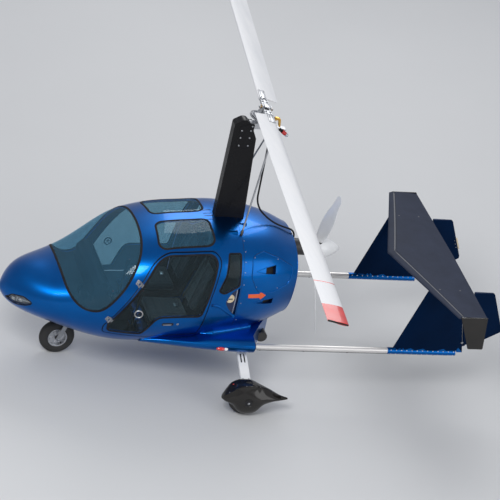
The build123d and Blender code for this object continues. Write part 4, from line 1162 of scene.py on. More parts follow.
for name, spin in (("left", 0), ("right", 180)):
    place = BLADES @ turned(spin, "Z") @ turned(-1.3, "Y")
    stands_for(rotor_blade("rotor_blade_skin_" + name, place), "rotor_blade_" + name)
    for label, up in (("top", 16), ("low", -16)):
        block(f"blade_grip_{label}_{name}", (168, 66, 7), "alloy", place @ moved(252, 8, up), 2.5, ROTOR)
    spots = spots_at(place, [(r, y, 19.5) for r in (190, 222, 254, 286, 318) for y in (-10, 26)])
    studs("blade_bolts_" + name, spots, head(7, -2, 4, 5.5, 5.5), "steel", ROTOR, 6)
    block("tip_cap_" + name, (10, 196, 18), "gloss_black", place @ moved(BLADE_TIP - 3, -48, 0), 3, ROTOR)

TEETH = 90
# Radius, share of the pitch
TOOTH = ((121, 0.0), (125.5, 0.25), (125.5, 0.6), (121, 0.85))
teeth = [(r, 2 * math.pi * k / TEETH + part * 2 * math.pi / TEETH) for k in range(TEETH) for r, part in TOOTH]
teeth = [(r * math.cos(w), r * math.sin(w)) for r, w in teeth]
plate("ring_gear_teeth", teeth, 12, "steel", HUB @ moved(0, 0, -114), 0, TOWER)
GEAR_WEB = [(60, -100.5), (112, -100.5), (114, -98), (112, -96), (96, -96.5), (92, -99), (60, -99)]
lathe("ring_gear_web", GEAR_WEB, "alloy", HUB, TOWER, closed=True, sides=72)
studs("ring_gear_bolts", spots_at(HUB, around(103.5, -96.2, 12, 15)), head(5, -1, 3, 4, 4), "steel", TOWER, 6)
TEETER_NUT = [(0, -2), (17, -2), (17, 2), (14, 2.2), (14, 11), (9.5, 12), (9, 16), (0, 16)]
for side in (1, -1):
    end = BLADES @ moved(0, side * 58, 0) @ turned(-90 * side, "X")
    lathe(f"teeter_nut_{side + 1}", TEETER_NUT, "steel", end, TOWER, sides=6, angle=20)
    lathe(f"teeter_washer_{side + 1}", disc(20, -3, 0.5), "gold", end, TOWER)
    block(f"teeter_stop_{side + 1}", (26, 12, 40), "steel", BLADES @ moved(side * 48, 0, -62), 3, TOWER)
block("hub_cover", (96, 60, 12), "alloy", BLADES @ moved(0, 0, 27), 4, ROTOR)
spots = spots_at(BLADES, [(x, y, 13.2) for x in (-150, -105, 105, 150) for y in (-22, 22)])
studs("hub_bolts", spots, BOLT, "steel", ROTOR, 6)


# Mast head: cheek plates with their bolts, prerotator bracket and its pinion housing

# Bolts: station, height; outlines: station, height, corner radius
MAST_BOLTS = ((2231, 2690), (2131, 2638), (2223, 2641), (2131, 2559), (2224, 2560), (2130, 2471),
              (2223, 2473))
MAST_BOLT = [(0, -1), (15, -1), (15, 1), (9.5, 1.2), (9.5, 6.5), (8, 8), (0, 8)]
CHEEK = ((2098, 2440, 20), (2256, 2440, 20), (2250, 2600, 10), (2252, 2716, 16), (2206, 2716, 14),
         (2098, 2680, 20))
BRACKET = ((2428, 2640, 6), (2448, 2640, 6), (2450, 2760, 14), (2488, 2766, 14), (2502, 2690, 6),
           (2520, 2694, 6), (2508, 2786, 26), (2440, 2794, 26))
MAST_HALF, PLATE_THICK = 0.05, 0.0002
spots = [((x * (MAST_HALF + PLATE_THICK), (s - LENGTH / 2) / 1000, z / 1000), (x, 0, 0))
         for x in (1, -1) for s, z in MAST_BOLTS]
studs("mast_head_bolts", spots, MAST_BOLT, "steel", sides=6)
for side in (1, -1):
    place = side_view(side * MAST_HALF, side)
    plate(f"mast_cheek_{side + 1}", rounded(CHEEK, step=60), 2.2, "weave", place, 0.8)
plate("prerotator_bracket", rounded(BRACKET, step=30), 30, "gold", side_view(0.012), 3)
# In metres: distance out, station, height
PINION = ((0.035, 2.516, 2.668), (0.045, 2.612, 2.598))
start, end = (Vector((x, s - LENGTH / 2000, z)) for x, s, z in PINION)
place = frame_on(start, (end - start).normalized(), (1, 0, 0))
folds = [(15 + 2 * (k % 2), 6 * k) for k in range(7)]
lathe("pinion_boot", [(0, 0), *folds, (15, 40), (0, 40)], "seal", place)
lathe("pinion_housing", [(0, 40), (19, 40), (20, 44), (20, 84), (17, 88), (0, 88)], "red", place)
lathe("pinion_nose", [(0, 88), (17, 88), (17, 108), (11, 114), (11, 120), (0, 120)], "alloy", place)
# The control rods' ends, as in the CAD: distance out, station, height
ROD_FOOT, ROD_HEAD = (342, 2243, 1558), (34, 2470, 2668)
ROD_END = [(0, -34), (11, -34), (14, -28), (14, 14), (10, 20), (10, 26), (0, 26)]
for side in (1, -1):
    low, top = (Vector((side * x, s - LENGTH / 2, z)) for x, s, z in (ROD_FOOT, ROD_HEAD))
    way = (top - low).normalized()
    for label, spot in (("top", top - way * 10), ("low", low + way * 90)):
        place = frame_on(spot / 1000, way, (1, 0, 0))
        lathe(f"rod_end_{label}_{side + 1}", ROD_END, "dark_metal", place, sides=20)


# Propeller and spinner

PROPELLER = "propeller_assembly"
PROP = cad_frame(0, 3186, 1320)
SPIN = cad_frame(0, 3140, 1320) @ turned(-90, "X")
PROP_STOP = 24
# Radius, chord, thickness, pitch in degrees
PROP_ROWS = np.array([(50, 62, 44, 60), (150, 96, 34, 46), (330, 142, 22, 31), (580, 128, 14, 22),
                      (780, 88, 8, 17), (848, 52, 5, 15.2), (860, 26, 3, 15)])
PROP_ROOT = [(0, 40), (34, 40), (34, 96), (30, 104), (0, 104)]
PROP_HUB = [(0, -34), (60, -34), (62, -30), (62, 30), (60, 34), (0, 34)]
SPINNER_SIDE = [(0, 0), (113, 0), (116, 3), (116, 10), (114.6, 11), (114.6, 13), (116, 14), (116, 70)]
SPINNER_CUTOUT = [(0, -12), (43, -12), (43, 2.2), (40, 3.4), (0, 3.4)]
chord_at, thick_at, pitch_at = (spline(PROP_ROWS[:, 0], PROP_ROWS[:, k]) for k in (1, 2, 3))


def lens_points(chord, thick, count=12):
    """A propeller section round from its edge: (chordwise, height) in mm."""
    a, b, k = chord / 2, thick / 2, 0.62
    quarter = [(cubic(a, a, k * a, 0, t), cubic(0, k * b, b, b, t)) for t in np.linspace(0, 1, count)[:-1]]
    top = quarter + [(-x, z) for x, z in reversed(quarter)]
    return top + [(-x, -z) for x, z in top]


for number in range(3):
    place = PROP @ turned(PROP_STOP + number * 120, "Y")
    rows = []
    for r in [*np.linspace(50, 830, 44), 842, 852, 858, 860]:
        w = math.radians(float(pitch_at(r)))
        rows.append([tuple(place @ Vector(((x * math.cos(w) - z * math.sin(w)) / 1000,
                                           (x * math.sin(w) + z * math.cos(w)) / 1000, r / 1000)))
                     for x, z in lens_points(float(chord_at(r)), float(thick_at(r)))])
    stands_for(grid_piece(f"propeller_blade_{number}", rows, "white", PROPELLER), "propeller")
    lathe(f"propeller_root_{number}", PROP_ROOT, "dark_metal", place, PROPELLER)
lathe("propeller_hub", PROP_HUB, "alloy", PROP @ turned(90, "X"), PROPELLER)
dome = [(cubic(116, 113.7, 36, 0, t), cubic(70, 165, 297, 297, t)) for t in np.linspace(0, 1, 26)[1:]]
spinner = lathe("spinner_shell", SPINNER_SIDE + dome, "white", SPIN, PROPELLER, sides=72)
stands_for(spinner, "spinner")
SPINNER_RADIUS = 0.116
spots = [(SPIN @ Vector((SPINNER_RADIUS * x, SPINNER_RADIUS * y, 0.022)), SPIN.to_3x3() @ Vector((x, y, 0)))
         for x, y, _ in around(1, 0, 12)]
studs("spinner_screws", spots, SCREW, "steel", PROPELLER)
for number in range(3):
    place = PROP @ turned(PROP_STOP + number * 120, "Y") @ moved(0, 0, 112)
    lathe(f"spinner_cutout_{number}", SPINNER_CUTOUT, "trim_black", place, PROPELLER)


# Tail: stabiliser

# Half span, height, then the root's and the tip's chord, thickness and trailing edge
STAB_SPAN, STAB_HEIGHT = 1228, 1288
STAB_ROOT, STAB_TIP = (706, 54, 4669), (308, 30, 4654)
STAB_T = np.linspace(0, 1, 101)
# Shares of the chord along the nose's curve and the rear's
STAB_NOSE = 3 * (1 - STAB_T) * STAB_T ** 2 * 0.14 + STAB_T ** 3 * 0.32
STAB_REAR = (1 - STAB_T) ** 2 * 0.32 + 2 * (1 - STAB_T) * STAB_T * 0.62 + STAB_T ** 2
STAB_BOLT = [(0, -2), (9, -2), (9, 1.2), (7, 2), (4.5, 2), (4, 3.2), (0, 3.2)]
# Label, share of the chord at the root, finish, width, height
STAB_LINES = (("band", 0.105, "grey_band", 15, 0.5), ("seam", 0.135, "seal", 3, 0.4))


def stab_point(share, out, up=1):
    """On the stabiliser: share of the chord aft, distance out in mm, top or underside."""
    k = abs(out) / STAB_SPAN
    chord, thick = (a + (b - a) * k for a, b in zip(STAB_ROOT[:2], STAB_TIP[:2]))
    root, tip = (trail - wide for wide, _, trail in (STAB_ROOT, STAB_TIP))
    lead = root + (tip - root) * k
    half, end = thick / 2, 2.5 - 0.5 * k
    if share <= 0.32:
        z = cubic(0, 0.72 * half, half, half, np.interp(share, STAB_NOSE, STAB_T))
    else:
        t = np.interp(share, STAB_REAR, STAB_T)
        z = (1 - t) ** 2 * half + 2 * (1 - t) * t * half + t * t * end
    return out / 1000, (lead + share * chord - LENGTH / 2) / 1000, (STAB_HEIGHT + up * z) / 1000


shares = [*STAB_NOSE[::7], *np.linspace(0.36, 1, 16)]
rows = [[stab_point(c, out) for c in reversed(shares)] + [stab_point(c, out, -1) for c in shares[1:]]
        for out in np.linspace(-STAB_SPAN, STAB_SPAN, 49)]
stands_for(grid_piece("stabilizer_skin", rows, "dark_grey"), "stabilizer")
for up in (1, -1):
    for label, share, mat, wide, high in STAB_LINES:
        for side in (1, -1):
            line = [stab_point(share + 0.06 * out / STAB_SPAN, side * out, up)
                    for out in np.linspace(4, 1222, 30)]
            sweep_loop(f"stabilizer_{label}_{side + 1}_{up + 1}", line, [(0, 0, up)] * len(line), mat, wide,
                       high, closed=False)
spots = [(stab_point(share, side * 725), (0, 0, 1)) for side in (1, -1) for share in (0.24, 0.70)]
studs("stabilizer_bolts", spots, STAB_BOLT, "grey_band")


# Tail: booms with their sleeves, collars and cables, and the trim tab

BOOM_OUT, BOOM_HEIGHT, SLEEVE_RADIUS = 719, 570, 0.034
SLEEVE_RIVET = [(0, -1), (6, -1), (5.4, 1.4), (3, 2.6), (0, 2.8)]
END_RING = [(13, 2), (30, 2), (31, 0), (31, -6), (33.5, -6), (34, 3), (30, 7), (16, 7), (13, 5)]
BOOM_COLLAR = [(30, -8), (41, -8), (41, 5), (38, 9), (32, 12), (30, 12)]
TRIM_TAB = ((4958, 1062, 4), (5010, 932, 4), (5050, 945, 4), (4998, 1076, 4))
for name, side in SIDES.items():
    x = side * BOOM_OUT
    cable = x + side * 3
    spots = []
    for angle in (38, 142, -40, -140):
        w = math.radians(angle)
        n = (math.cos(w), 0, math.sin(w))
        spots += [((x / 1000 + SLEEVE_RADIUS * n[0], (s - LENGTH / 2) / 1000,
                    BOOM_HEIGHT / 1000 + SLEEVE_RADIUS * n[2]), n) for s in range(3935, 4611, 56)]
    studs("sleeve_rivets_" + name, spots, SLEEVE_RIVET, "alloy", sides=10)
    axis = cad_frame(x, 4630, BOOM_HEIGHT, -90)
    lathe("boom_end_ring_" + name, END_RING, "alloy", axis, closed=True)
    lathe("boom_end_plug_" + name, disc(20, -6, 3), "trim_black", axis)
    lathe("boom_collar_" + name, BOOM_COLLAR, "seal", cad_frame(x, 2494, BOOM_HEIGHT, -90), closed=True)
    line = [(cable, s - LENGTH / 2, BOOM_HEIGHT - 36) for s in (2530, 2900, 3300, 3700, 4100, 4560)]
    pipe("rudder_cable_" + name, line, 2.6, "dark_metal", 8)
    for k, s in enumerate((2560, 3020, 3480, 3940, 4400)):
        block(f"cable_clip_{k}_{name}", (12, 16, 10), "trim_black", cad_frame(cable, s, BOOM_HEIGHT - 34), 2)
    for height, s in ((700, 4674), (1150, 4577)):
        block(f"rudder_bracket_{height}_{name}", (54, 26, 12), "alloy", cad_frame(x, s, height, 12), 2)
plate("trim_tab", rounded(TRIM_TAB, step=40), 4, "beige", side_view(-BOOM_OUT / 1000 - 0.002), 0.8,
      "rudder_flap_right")
spots = [((-BOOM_OUT / 1000 + 0.003, (s - LENGTH / 2) / 1000, z / 1000), (1, 0, 0))
         for s, z in ((4976, 1040), (4992, 1000), (5008, 960))]
studs("trim_tab_rivets", spots, RIVET, "alloy", "rudder_flap_right", 10)


# Wheel spats and gear legs

def gentle(xs, ys):
    """A smooth curve through the points that doesn't swing past them."""
    xs, ys = np.asarray(xs, float), np.asarray(ys, float)
    h, slope = np.diff(xs), np.diff(ys) / np.diff(xs)
    m = np.zeros(len(xs))
    m[0], m[-1] = slope[0], slope[-1]
    for i in range(1, len(xs) - 1):
        if slope[i - 1] * slope[i] > 0:
            a, b = 2 * h[i] + h[i - 1], h[i] + 2 * h[i - 1]
            m[i] = (a + b) / (a / slope[i - 1] + b / slope[i])

    def value(x):
        i = int(np.clip(np.searchsorted(xs, x, side="right") - 1, 0, len(xs) - 2))
        t = np.clip((x - xs[i]) / h[i], 0, 1)
        return float((1 + 2 * t) * (1 - t) ** 2 * ys[i] + t * (1 - t) ** 2 * h[i] * m[i]
                     + t * t * (3 - 2 * t) * ys[i + 1] + t * t * (t - 1) * h[i] * m[i + 1])
    return value


def bent(a, b, c, d, count):
    """Points along a cubic in the plane."""
    a, b, c, d = (np.array(p, float) for p in (a, b, c, d))
    return [cubic(a, b, c, d, t) for t in np.linspace(0, 1, count)]


# All by distance aft of the wheel's axle: height of the deck, how far its edge drops, half width there,
# greatest half width, underside, half width there
spat_top = gentle((-252, -240, -209, -147, -100, -59, 25, 75, 120, 241, 361, 440),
                  (180, 206, 252, 322, 345, 356, 358, 347, 328, 274, 211, 186))
spat_drop = gentle((-252, -230, -147, -59, 25, 120, 241, 440), (1, 5, 8, 9, 8, 5, 2, 1))
spat_edge = gentle((-252, -244, -230, -209, -147, -59, 25, 75, 120, 241, 361, 440),
                   (9, 18, 33, 49, 76, 80, 72, 58, 44, 21, 12, 7))
spat_wide = gentle((-252, -246, -236, -200, -165, -90, -20, 60, 130, 215, 300, 380, 440),
                   (12, 28, 50, 80, 99, 112, 115, 113, 105, 86, 62, 34, 9))
spat_low = gentle((-252, -240, -227, -190, -159, -130, -108, -80, -54, -20, 12, 50, 84, 115, 140, 165, 219,
                   308, 395, 440),
                  (168, 162, 154, 137, 126, 108, 84, 60, 46, 37, 34, 36, 44, 62, 88, 114, 139, 161, 170, 172))
spat_foot = gentle((-252, -200, -150, -100, 0, 100, 150, 215, 300, 440),
                   (5, 20, 44, 60, 66, 60, 44, 26, 14, 4))
# The main wheels' distance out and station, and the spats' opening: length and width either way, height
WHEEL_OUT, WHEEL_STATION = 1050, 2400
OPENING = (150, 62, 120)
SPAT_STEPS = np.concatenate([[-250, -246, -240, -232], np.arange(-222, 420, 12), [424, 434]])
SPAT_PORT = [(36, -3), (46, -3), (48, 1), (46, 4.5), (42, 5), (38, 2)]
# The leg's underside runs from one distance out and height to the other
LEG_ROOT, LEG_END = (560, 520), (974, 308)
# Distances out of the slots' middles and of the bolts
SLOT_OUT, BOLT_OUT = 726, 940
LEG_BOLT = head(9, -2, 4, 7, 6)
SPAT_SCREWS = ((-195, 42), (-40, 62), (110, 34), (260, 8))


def spat_section(aft):
    top, edge, wide = spat_top(aft), spat_edge(aft), spat_wide(aft)
    low, foot = spat_low(aft), spat_foot(aft)
    rim = top - spat_drop(aft)
    middle = max(low + 0.42 * (rim - low), min(176, rim))
    deck = bent((0, top), (0.55 * edge, top), (0.86 * edge, top + 0.35 * (rim - top)), (edge, rim), 9)
    upper = bent((edge, rim), (edge + 0.2 * (wide - edge) + 1, rim - 0.25 * (rim - middle)),
                 (wide, middle + 0.4 * (rim - middle)), (wide, middle), 9)
    lower = bent((wide, middle), (wide, middle - 0.5 * (middle - low)),
                 (foot + 0.45 * (wide - foot), low + 8), (foot, low), 11)
    base = [np.array((foot * t, low - 0.5 * (1 - t))) for t in (0.8, 0.5, 0.2)]
    half = deck[:-1] + upper[:-1] + lower + base
    return half + [np.array((-x, z)) for x, z in reversed(half[1:])]


def spat_point(aft, out, height, side):
    return Vector(((side * WHEEL_OUT + out) / 1000, (WHEEL_STATION + aft - LENGTH / 2) / 1000, height / 1000))


def leg_height(out):
    return LEG_ROOT[1] + (LEG_END[1] - LEG_ROOT[1]) * (out - LEG_ROOT[0]) / (LEG_END[0] - LEG_ROOT[0])


leg_slope = math.degrees(math.atan2(LEG_ROOT[1] - LEG_END[1], LEG_END[0] - LEG_ROOT[0]))
for name, side in SIDES.items():
    bm = bmesh.new()
    rings = [[bm.verts.new(spat_point(aft, x, z, side) * 1000) for x, z in spat_section(float(aft))]
             for aft in SPAT_STEPS]
    for a, b, aft in zip(rings, rings[1:], SPAT_STEPS):
        for k in range(len(a)):
            q = (k + 1) % len(a)
            middle = (a[k].co + b[q].co) / 2
            off = (abs(aft), abs(middle.x - side * WHEEL_OUT), middle.z)
            if not all(value < limit for value, limit in zip(off, OPENING)):
                bm.faces.new((a[k], a[q], b[q], b[k]))
    bm.faces.new(rings[0])
    bm.faces.new(rings[-1])
    bmesh.ops.recalc_face_normals(bm, faces=bm.faces)
    bmesh.ops.solidify(bm, geom=bm.faces[:], thickness=4)
    stands_for(settle(bm, "wheel_spat_" + name, "gloss_black", angle=24), "wheel_spats")
    hub = cad_frame(side * (WHEEL_OUT + 112.5), WHEEL_STATION, 182, 90 * side, "Y")
    lathe("spat_port_" + name, SPAT_PORT, "gloss_black", hub, closed=True)
    lathe("spat_port_floor_" + name, disc(39, 0, 2.5), "trim_black", hub)
    lathe("spat_port_nut_" + name, head(13, 0, 8, 9, 10), "steel", hub, sides=6, angle=20)
    spots = [(spat_point(aft, side * out, spat_top(aft) - 0.6 * spat_drop(aft), side), (side * 0.12, 0, 1))
             for aft, out in SPAT_SCREWS]
    studs("spat_screws_" + name, spots, SCREW, "steel")
    marker = spat_point(-150, -side * 20, spat_top(-150) - 1, side)
    studs("spat_marker_" + name, [(marker, (side * 0.5, -0.5, 0.8))],
          [(0, -3), (7, -3), (7, 1), (5, 3.5), (0, 4)], "red")
    for k, s in enumerate((2382, 2418)):
        place = cad_frame(side * SLOT_OUT, s, leg_height(SLOT_OUT), side * leg_slope, "Y")
        block(f"leg_slot_{k}_{name}", (98, 13, 3), "trim_black", place, 1.2)
        block(f"leg_rib_{k}_{name}", (104, 3, 5), "white", place @ moved(0, 9 - 18 * k, 1), 1)
    bolt_x, bolt_z = side * BOLT_OUT / 1000, (leg_height(BOLT_OUT) + 0.5) / 1000
    spots = [((bolt_x, (s - LENGTH / 2) / 1000, bolt_z), (side * 0.456, 0, 0.89)) for s in (2370, 2430)]
    studs("leg_bolts_" + name, spots, LEG_BOLT, "steel", sides=6)


# Tyres, rims and the tow pins on the nose axle

TYRE_RADIUS, AXLE_HEIGHT = 180, 180
# Body, tyre's node, name of the rim's pieces, distance out, station
WHEELS = (("nose_wheel", "nose_tyre", "nose", 0, 685),
          ("main_wheel_left", "main_tyre_left", "main_left", WHEEL_OUT, WHEEL_STATION),
          ("main_wheel_right", "main_tyre_right", "main_right", -WHEEL_OUT, WHEEL_STATION))
RIM_FLANGE = [(86, 33), (95.5, 33), (98.5, 36), (99.5, 40), (97, 42.5), (91, 41), (88, 37)]
HUB_CAP = [(11, 24), (27, 24), (27, 31), (24, 34), (17, 35), (11, 35)]
VALVE = [(0, 0), (4.5, 0), (4.5, 12), (3, 13), (3, 24), (0, 24)]
TOW_PIN = [(0, -28), (12, -28), (12, -22), (10.4, -22), (10.4, 0), (9, 2), (0, 2)]


def tread_radius(h):
    t = np.linspace(0, 1, 60)
    height = (1 - t) ** 2 * 36 + 2 * t * (1 - t) * 21
    radius = (1 - t) ** 2 * 166 + 2 * t * (1 - t) * TYRE_RADIUS + t * t * TYRE_RADIUS
    return float(np.interp(-abs(h), -height, radius))


def tyre_outline():
    half = [tuple(p) for p in bent((95, 39), (121, 56), (146, 54), (166, 36), 13)]
    r, h = half[3]
    half[3:4] = [(r - 1, h), (r, h + 1.6), (r + 3, h + 1.6)]
    half += [(tread_radius(h), h) for h in (33.5, 30, 26)]
    for groove in (22, 9):
        for step, deep in ((1.9, 0), (1.5, 4), (-1.5, 4), (-1.9, 0)):
            half.append((tread_radius(groove + step) - deep, groove + step))
        half.append((tread_radius(groove - 5), groove - 5))
    half.append((TYRE_RADIUS, 0))
    return half + [(r, -h) for r, h in reversed(half[:-1])]


for body, node, label, x, s in WHEELS:
    wheel = cad_frame(x, s, AXLE_HEIGHT, 90, "Y")
    tyre = lathe(node + "_carcass", tyre_outline(), "tyre", wheel, body, sides=96, closed=True, angle=28)
    stands_for(tyre, node)
    for up, face in ((1, wheel), (-1, wheel @ turned(180, "X"))):
        ending = f"{label}_{up + 1}"
        studs("rim_bolts_" + ending, spots_at(face, around(78.5, 7, 8, 22.5)), head(6, -1, 5, 4.5, 6.5),
              "steel", body, 6)
        lathe("rim_flange_" + ending, RIM_FLANGE, "alloy", face, body, closed=True, sides=72)
        lathe("hub_cap_" + ending, HUB_CAP, "dark_metal", face, body, closed=True)
    place = wheel @ turned(36, "Z") @ moved(77, 0, 12) @ turned(25, "Y")
    lathe("valve_" + node, VALVE, "seal", place, body, sides=12)
for side in (1, -1):
    place = cad_frame(side * 105, 685, AXLE_HEIGHT, 90 * side, "Y")
    lathe(f"tow_pin_{side + 1}", TOW_PIN, "alloy", place, "steered_fork")


# Lights: on the wings, then two reflectors and a strip of diodes behind each nose cover

REFLECTOR = [(0, 1), (9, 1.6), (17, 5), (22, 12), (24, 13), (24, 10), (19, 1), (13, -3), (0, -3)]
BULB = [(0, 0), (6, 0), (6, 5), (4, 9), (0, 10)]
# Name, station, height; the strip's first place and its run
LAMPS = (("front", 104, 716), ("rear", 160, 738))
DIODE_START, DIODE_RUN = (168, 749), (74, 10)
for name, side in SIDES.items():
    light = ball("navigation_light_" + name, (29, 50, 23), "lens_red" if side > 0 else "lens_green",
                 (side * 754, 2143 - LENGTH / 2, 560), 32, 20)
    stands_for(light, "wing_lights")
    ball("tail_light_" + name, (26, 24, 20), "frosted", (side * 758, 2192 - LENGTH / 2, 560), 24, 14)


def lamp_place(station, height, side, lift):
    return frame_on(*on_skin(station, height, side, lift), (side * 0.3, 1, 0))


for name, side in SIDES.items():
    for label, s, z in LAMPS:
        place = lamp_place(s, z, side, -24)
        lathe(f"lamp_reflector_{label}_{name}", REFLECTOR, "chrome", place, sides=32)
        lathe(f"lamp_bulb_{label}_{name}", BULB, "frosted", place, sides=20)
    block("lamp_divider_" + name, (7, 46, 16), "white", lamp_place(131, 729, side, -18), 2)
    for k, t in enumerate(np.linspace(0, 1, 9)):
        place = lamp_place(DIODE_START[0] + DIODE_RUN[0] * t, DIODE_START[1] + DIODE_RUN[1] * t, side, -9)
        block(f"lamp_diode_{k}_{name}", (7, 8, 4), "frosted", place, 1)
    strip_on_skin("lamp_rim_" + name, side_loop(lamp_loop, side), "seal", 11, 1.6)


# Cowl seams

crown_seam = np.array([(SEAM_U, p) for p in np.linspace(-low_seam, low_seam, 150)])
strip_on_skin("cowl_seam", crown_seam, "seal", 3.2, 0.5, closed=False)
for name, side in SIDES.items():
    line = np.array(seam_line(SEAM_U, END_U - 0.02, BELLY_SEAM, side, 60))
    strip_on_skin("cowl_seam_low_" + name, line, "seal", 3.2, 0.5, closed=False)
rear_rim = np.array([(END_U - 0.03, p) for p in np.linspace(-low_end, low_end, 150)])
strip_on_skin("cowl_rear_rim", rear_rim, "blue", 9, 1.5, closed=False)


# Cabin: seat and back pads, harnesses

# How far a seat is out, where its back stands and leans, and where its pad lies
SEAT_OUT, BACK_STATION, BACK_HEIGHT, BACK_LEAN = 300, 1881, 670, -16
PAD_STATION, PAD_HEIGHT = 1640, 715.3
VOXEL, SWELL, SEWN_WIDTH = 0.008, 0.008, 0.0055
CLOTH = {"quality": 5, "mass": 0.3, "tension_stiffness": 12, "compression_stiffness": 12,
         "shear_stiffness": 5, "bending_stiffness": 0.4, "use_pressure": True, "uniform_pressure_force": 4}
CLOTH_FRAMES = 20


def evaluated(obj):
    graph = bpy.context.evaluated_depsgraph_get()
    return bpy.data.meshes.new_from_object(obj.evaluated_get(graph))


def places(mesh):
    return np.array([v.co[:] for v in mesh.vertices])


def pad_shape(size, shoulder=0.0, waist=0.0):
    """A rounded pad in mm, centred, Z up from its base; narrower at its head by shoulder."""
    bm = bmesh.new()
    bmesh.ops.create_cube(bm, size=1)
    bmesh.ops.scale(bm, vec=size, verts=bm.verts)
    bmesh.ops.bevel(bm, geom=bm.edges[:], offset=min(size) * 0.36, segments=4, profile=0.5, affect="EDGES")
    for v in bm.verts:
        share = v.co.y / size[1] + 0.5
        v.co.x *= 1 - shoulder * max(0.0, share - 0.55) / 0.45 - waist * math.sin(math.pi * share)
    bmesh.ops.scale(bm, vec=(0.001,) * 3, verts=bm.verts)
    mesh = bpy.data.meshes.new("pad_blank")
    bm.to_mesh(mesh)
    bm.free()
    return mesh


def stuffed(mesh, cap, lines):
    """Remeshes a pad, blows it up as cloth, presses the sewn lines in, and returns the mesh."""
    obj = bpy.data.objects.new("pad_work", mesh)
    scene.collection.objects.link(obj)
    grid = obj.modifiers.new("grid", "REMESH")
    grid.mode = "VOXEL"
    grid.voxel_size = VOXEL
    fine = evaluated(obj)
    obj.modifiers.clear()
    obj.data = fine
    start = places(fine)
    cloth = obj.modifiers.new("stuffing", "CLOTH")
    for key, value in CLOTH.items():
        setattr(cloth.settings, key, value)
    cloth.settings.effector_weights.gravity = 0
    cloth.point_cache.frame_start, cloth.point_cache.frame_end = 1, CLOTH_FRAMES
    for number in range(1, CLOTH_FRAMES + 1):
        scene.frame_set(number)
    now = places(evaluated(obj))
    obj.modifiers.clear()
    scene.frame_set(1)
    move = now - start
    far = np.linalg.norm(move, axis=1, keepdims=True)
    now = start + move * np.minimum(1, cap / np.maximum(far, 1e-9))
    for axis, place, reach, depth in lines:
        other = now[:, 1 - axis]
        near = np.exp(-((now[:, axis] - place) / SEWN_WIDTH) ** 2) * (np.abs(other) < reach)
        now[:, 2] -= np.where(now[:, 2] > 0, depth * near, 0)
    for vert, place in zip(fine.vertices, now):
        vert.co = place
    obj.data = fine
    smooth = obj.modifiers.new("smooth", "SUBSURF")
    smooth.levels = 1
    done = evaluated(obj)
    obj.modifiers.clear()
    bpy.data.objects.remove(obj)
    for poly in done.polygons:
        poly.use_smooth = True
    return done


def sewn(across, width, depth, along, length, shallow):
    """Sewn lines (axis, place, reach, depth) in metres: some across the pad, some along it."""
    return [(1, y, width, depth) for y in across] + [(0, x, length, shallow) for x in along]


def soft_piece(name, mesh, place):
    mesh = mesh.copy()
    mesh.transform(place)
    mesh.materials.clear()
    obj = riding(name, mesh, "cloth", "airframe")
    stands_for(obj, "seat_cushions")


seat_pad = stuffed(pad_shape((392, 414, 70), waist=0.02), 0.009,
                   sewn((-0.12, -0.04, 0.04, 0.12), 0.15, 0.007, (-0.15, 0.15), 0.165, 0.006))
back_pad = stuffed(pad_shape((302, 476, 54), 0.22), 0.008,
                   sewn((-0.16, -0.08, 0.0, 0.08, 0.16), 0.108, 0.006, (-0.108, 0.108), 0.2, 0.005))
# Height up the seat's back, distance from its middle, distance ahead of it
STRAP = ((628, 52, 82), (600, 56, 82), (480, 62, 86), (350, 70, 86), (220, 80, 86), (130, 96, 86))
ahead = turned(BACK_LEAN, "X").to_3x3() @ Vector((0, -1, 0))
for name, side in SIDES.items():
    soft_piece("seat_pad_" + name, seat_pad, cad_frame(side * SEAT_OUT, PAD_STATION, PAD_HEIGHT))
    seat_back = cad_frame(side * SEAT_OUT, BACK_STATION, BACK_HEIGHT, BACK_LEAN)
    soft_piece("back_pad_" + name, back_pad, seat_back @ moved(0, -35.3, 354) @ turned(90, "X"))
    for strap in (1, -1):
        line = [seat_back @ Vector((strap * out / 1000, -off / 1000, up / 1000)) for up, out, off in STRAP]
        sweep_loop(f"harness_{strap + 1}_{name}", [tuple(p) for p in line], [tuple(ahead)] * len(line),
                   "webbing", 44, 2.4, closed=False)
    block("harness_buckle_" + name, (62, 46, 12), "steel", cad_frame(side * SEAT_OUT, 1745, 770), 4)


# Cabin: instrument panel

PANEL = Matrix(((1, 0, 0, 0), (0, 0.166, 0.986, 0), (0, 0.986, -0.166, 0), (0, 0, 0, 1)))
# Distance out, height up the panel, radius
DIALS = ((300, 132, 40), (300, 52, 40), (214, 132, 30), (214, 60, 30), (-300, 132, 40), (-300, 52, 40),
         (-214, 132, 30), (-214, 60, 30), (372, 96, 24), (-372, 96, 24))
ORANGE_NEEDLES = (2, 6)
PANEL_KNOB = [(0, 0), (8, 0), (7, 10), (6, 12), (0, 12)]


def on_panel(x, up):
    """A frame on the instrument panel's face: X across, Y up the face, Z towards the seats."""
    place = PANEL.copy()
    share = up / 198.8
    place.translation = (x / 1000, (952 + 33 * share - LENGTH / 2) / 1000, (850 + 196 * share) / 1000)
    return place


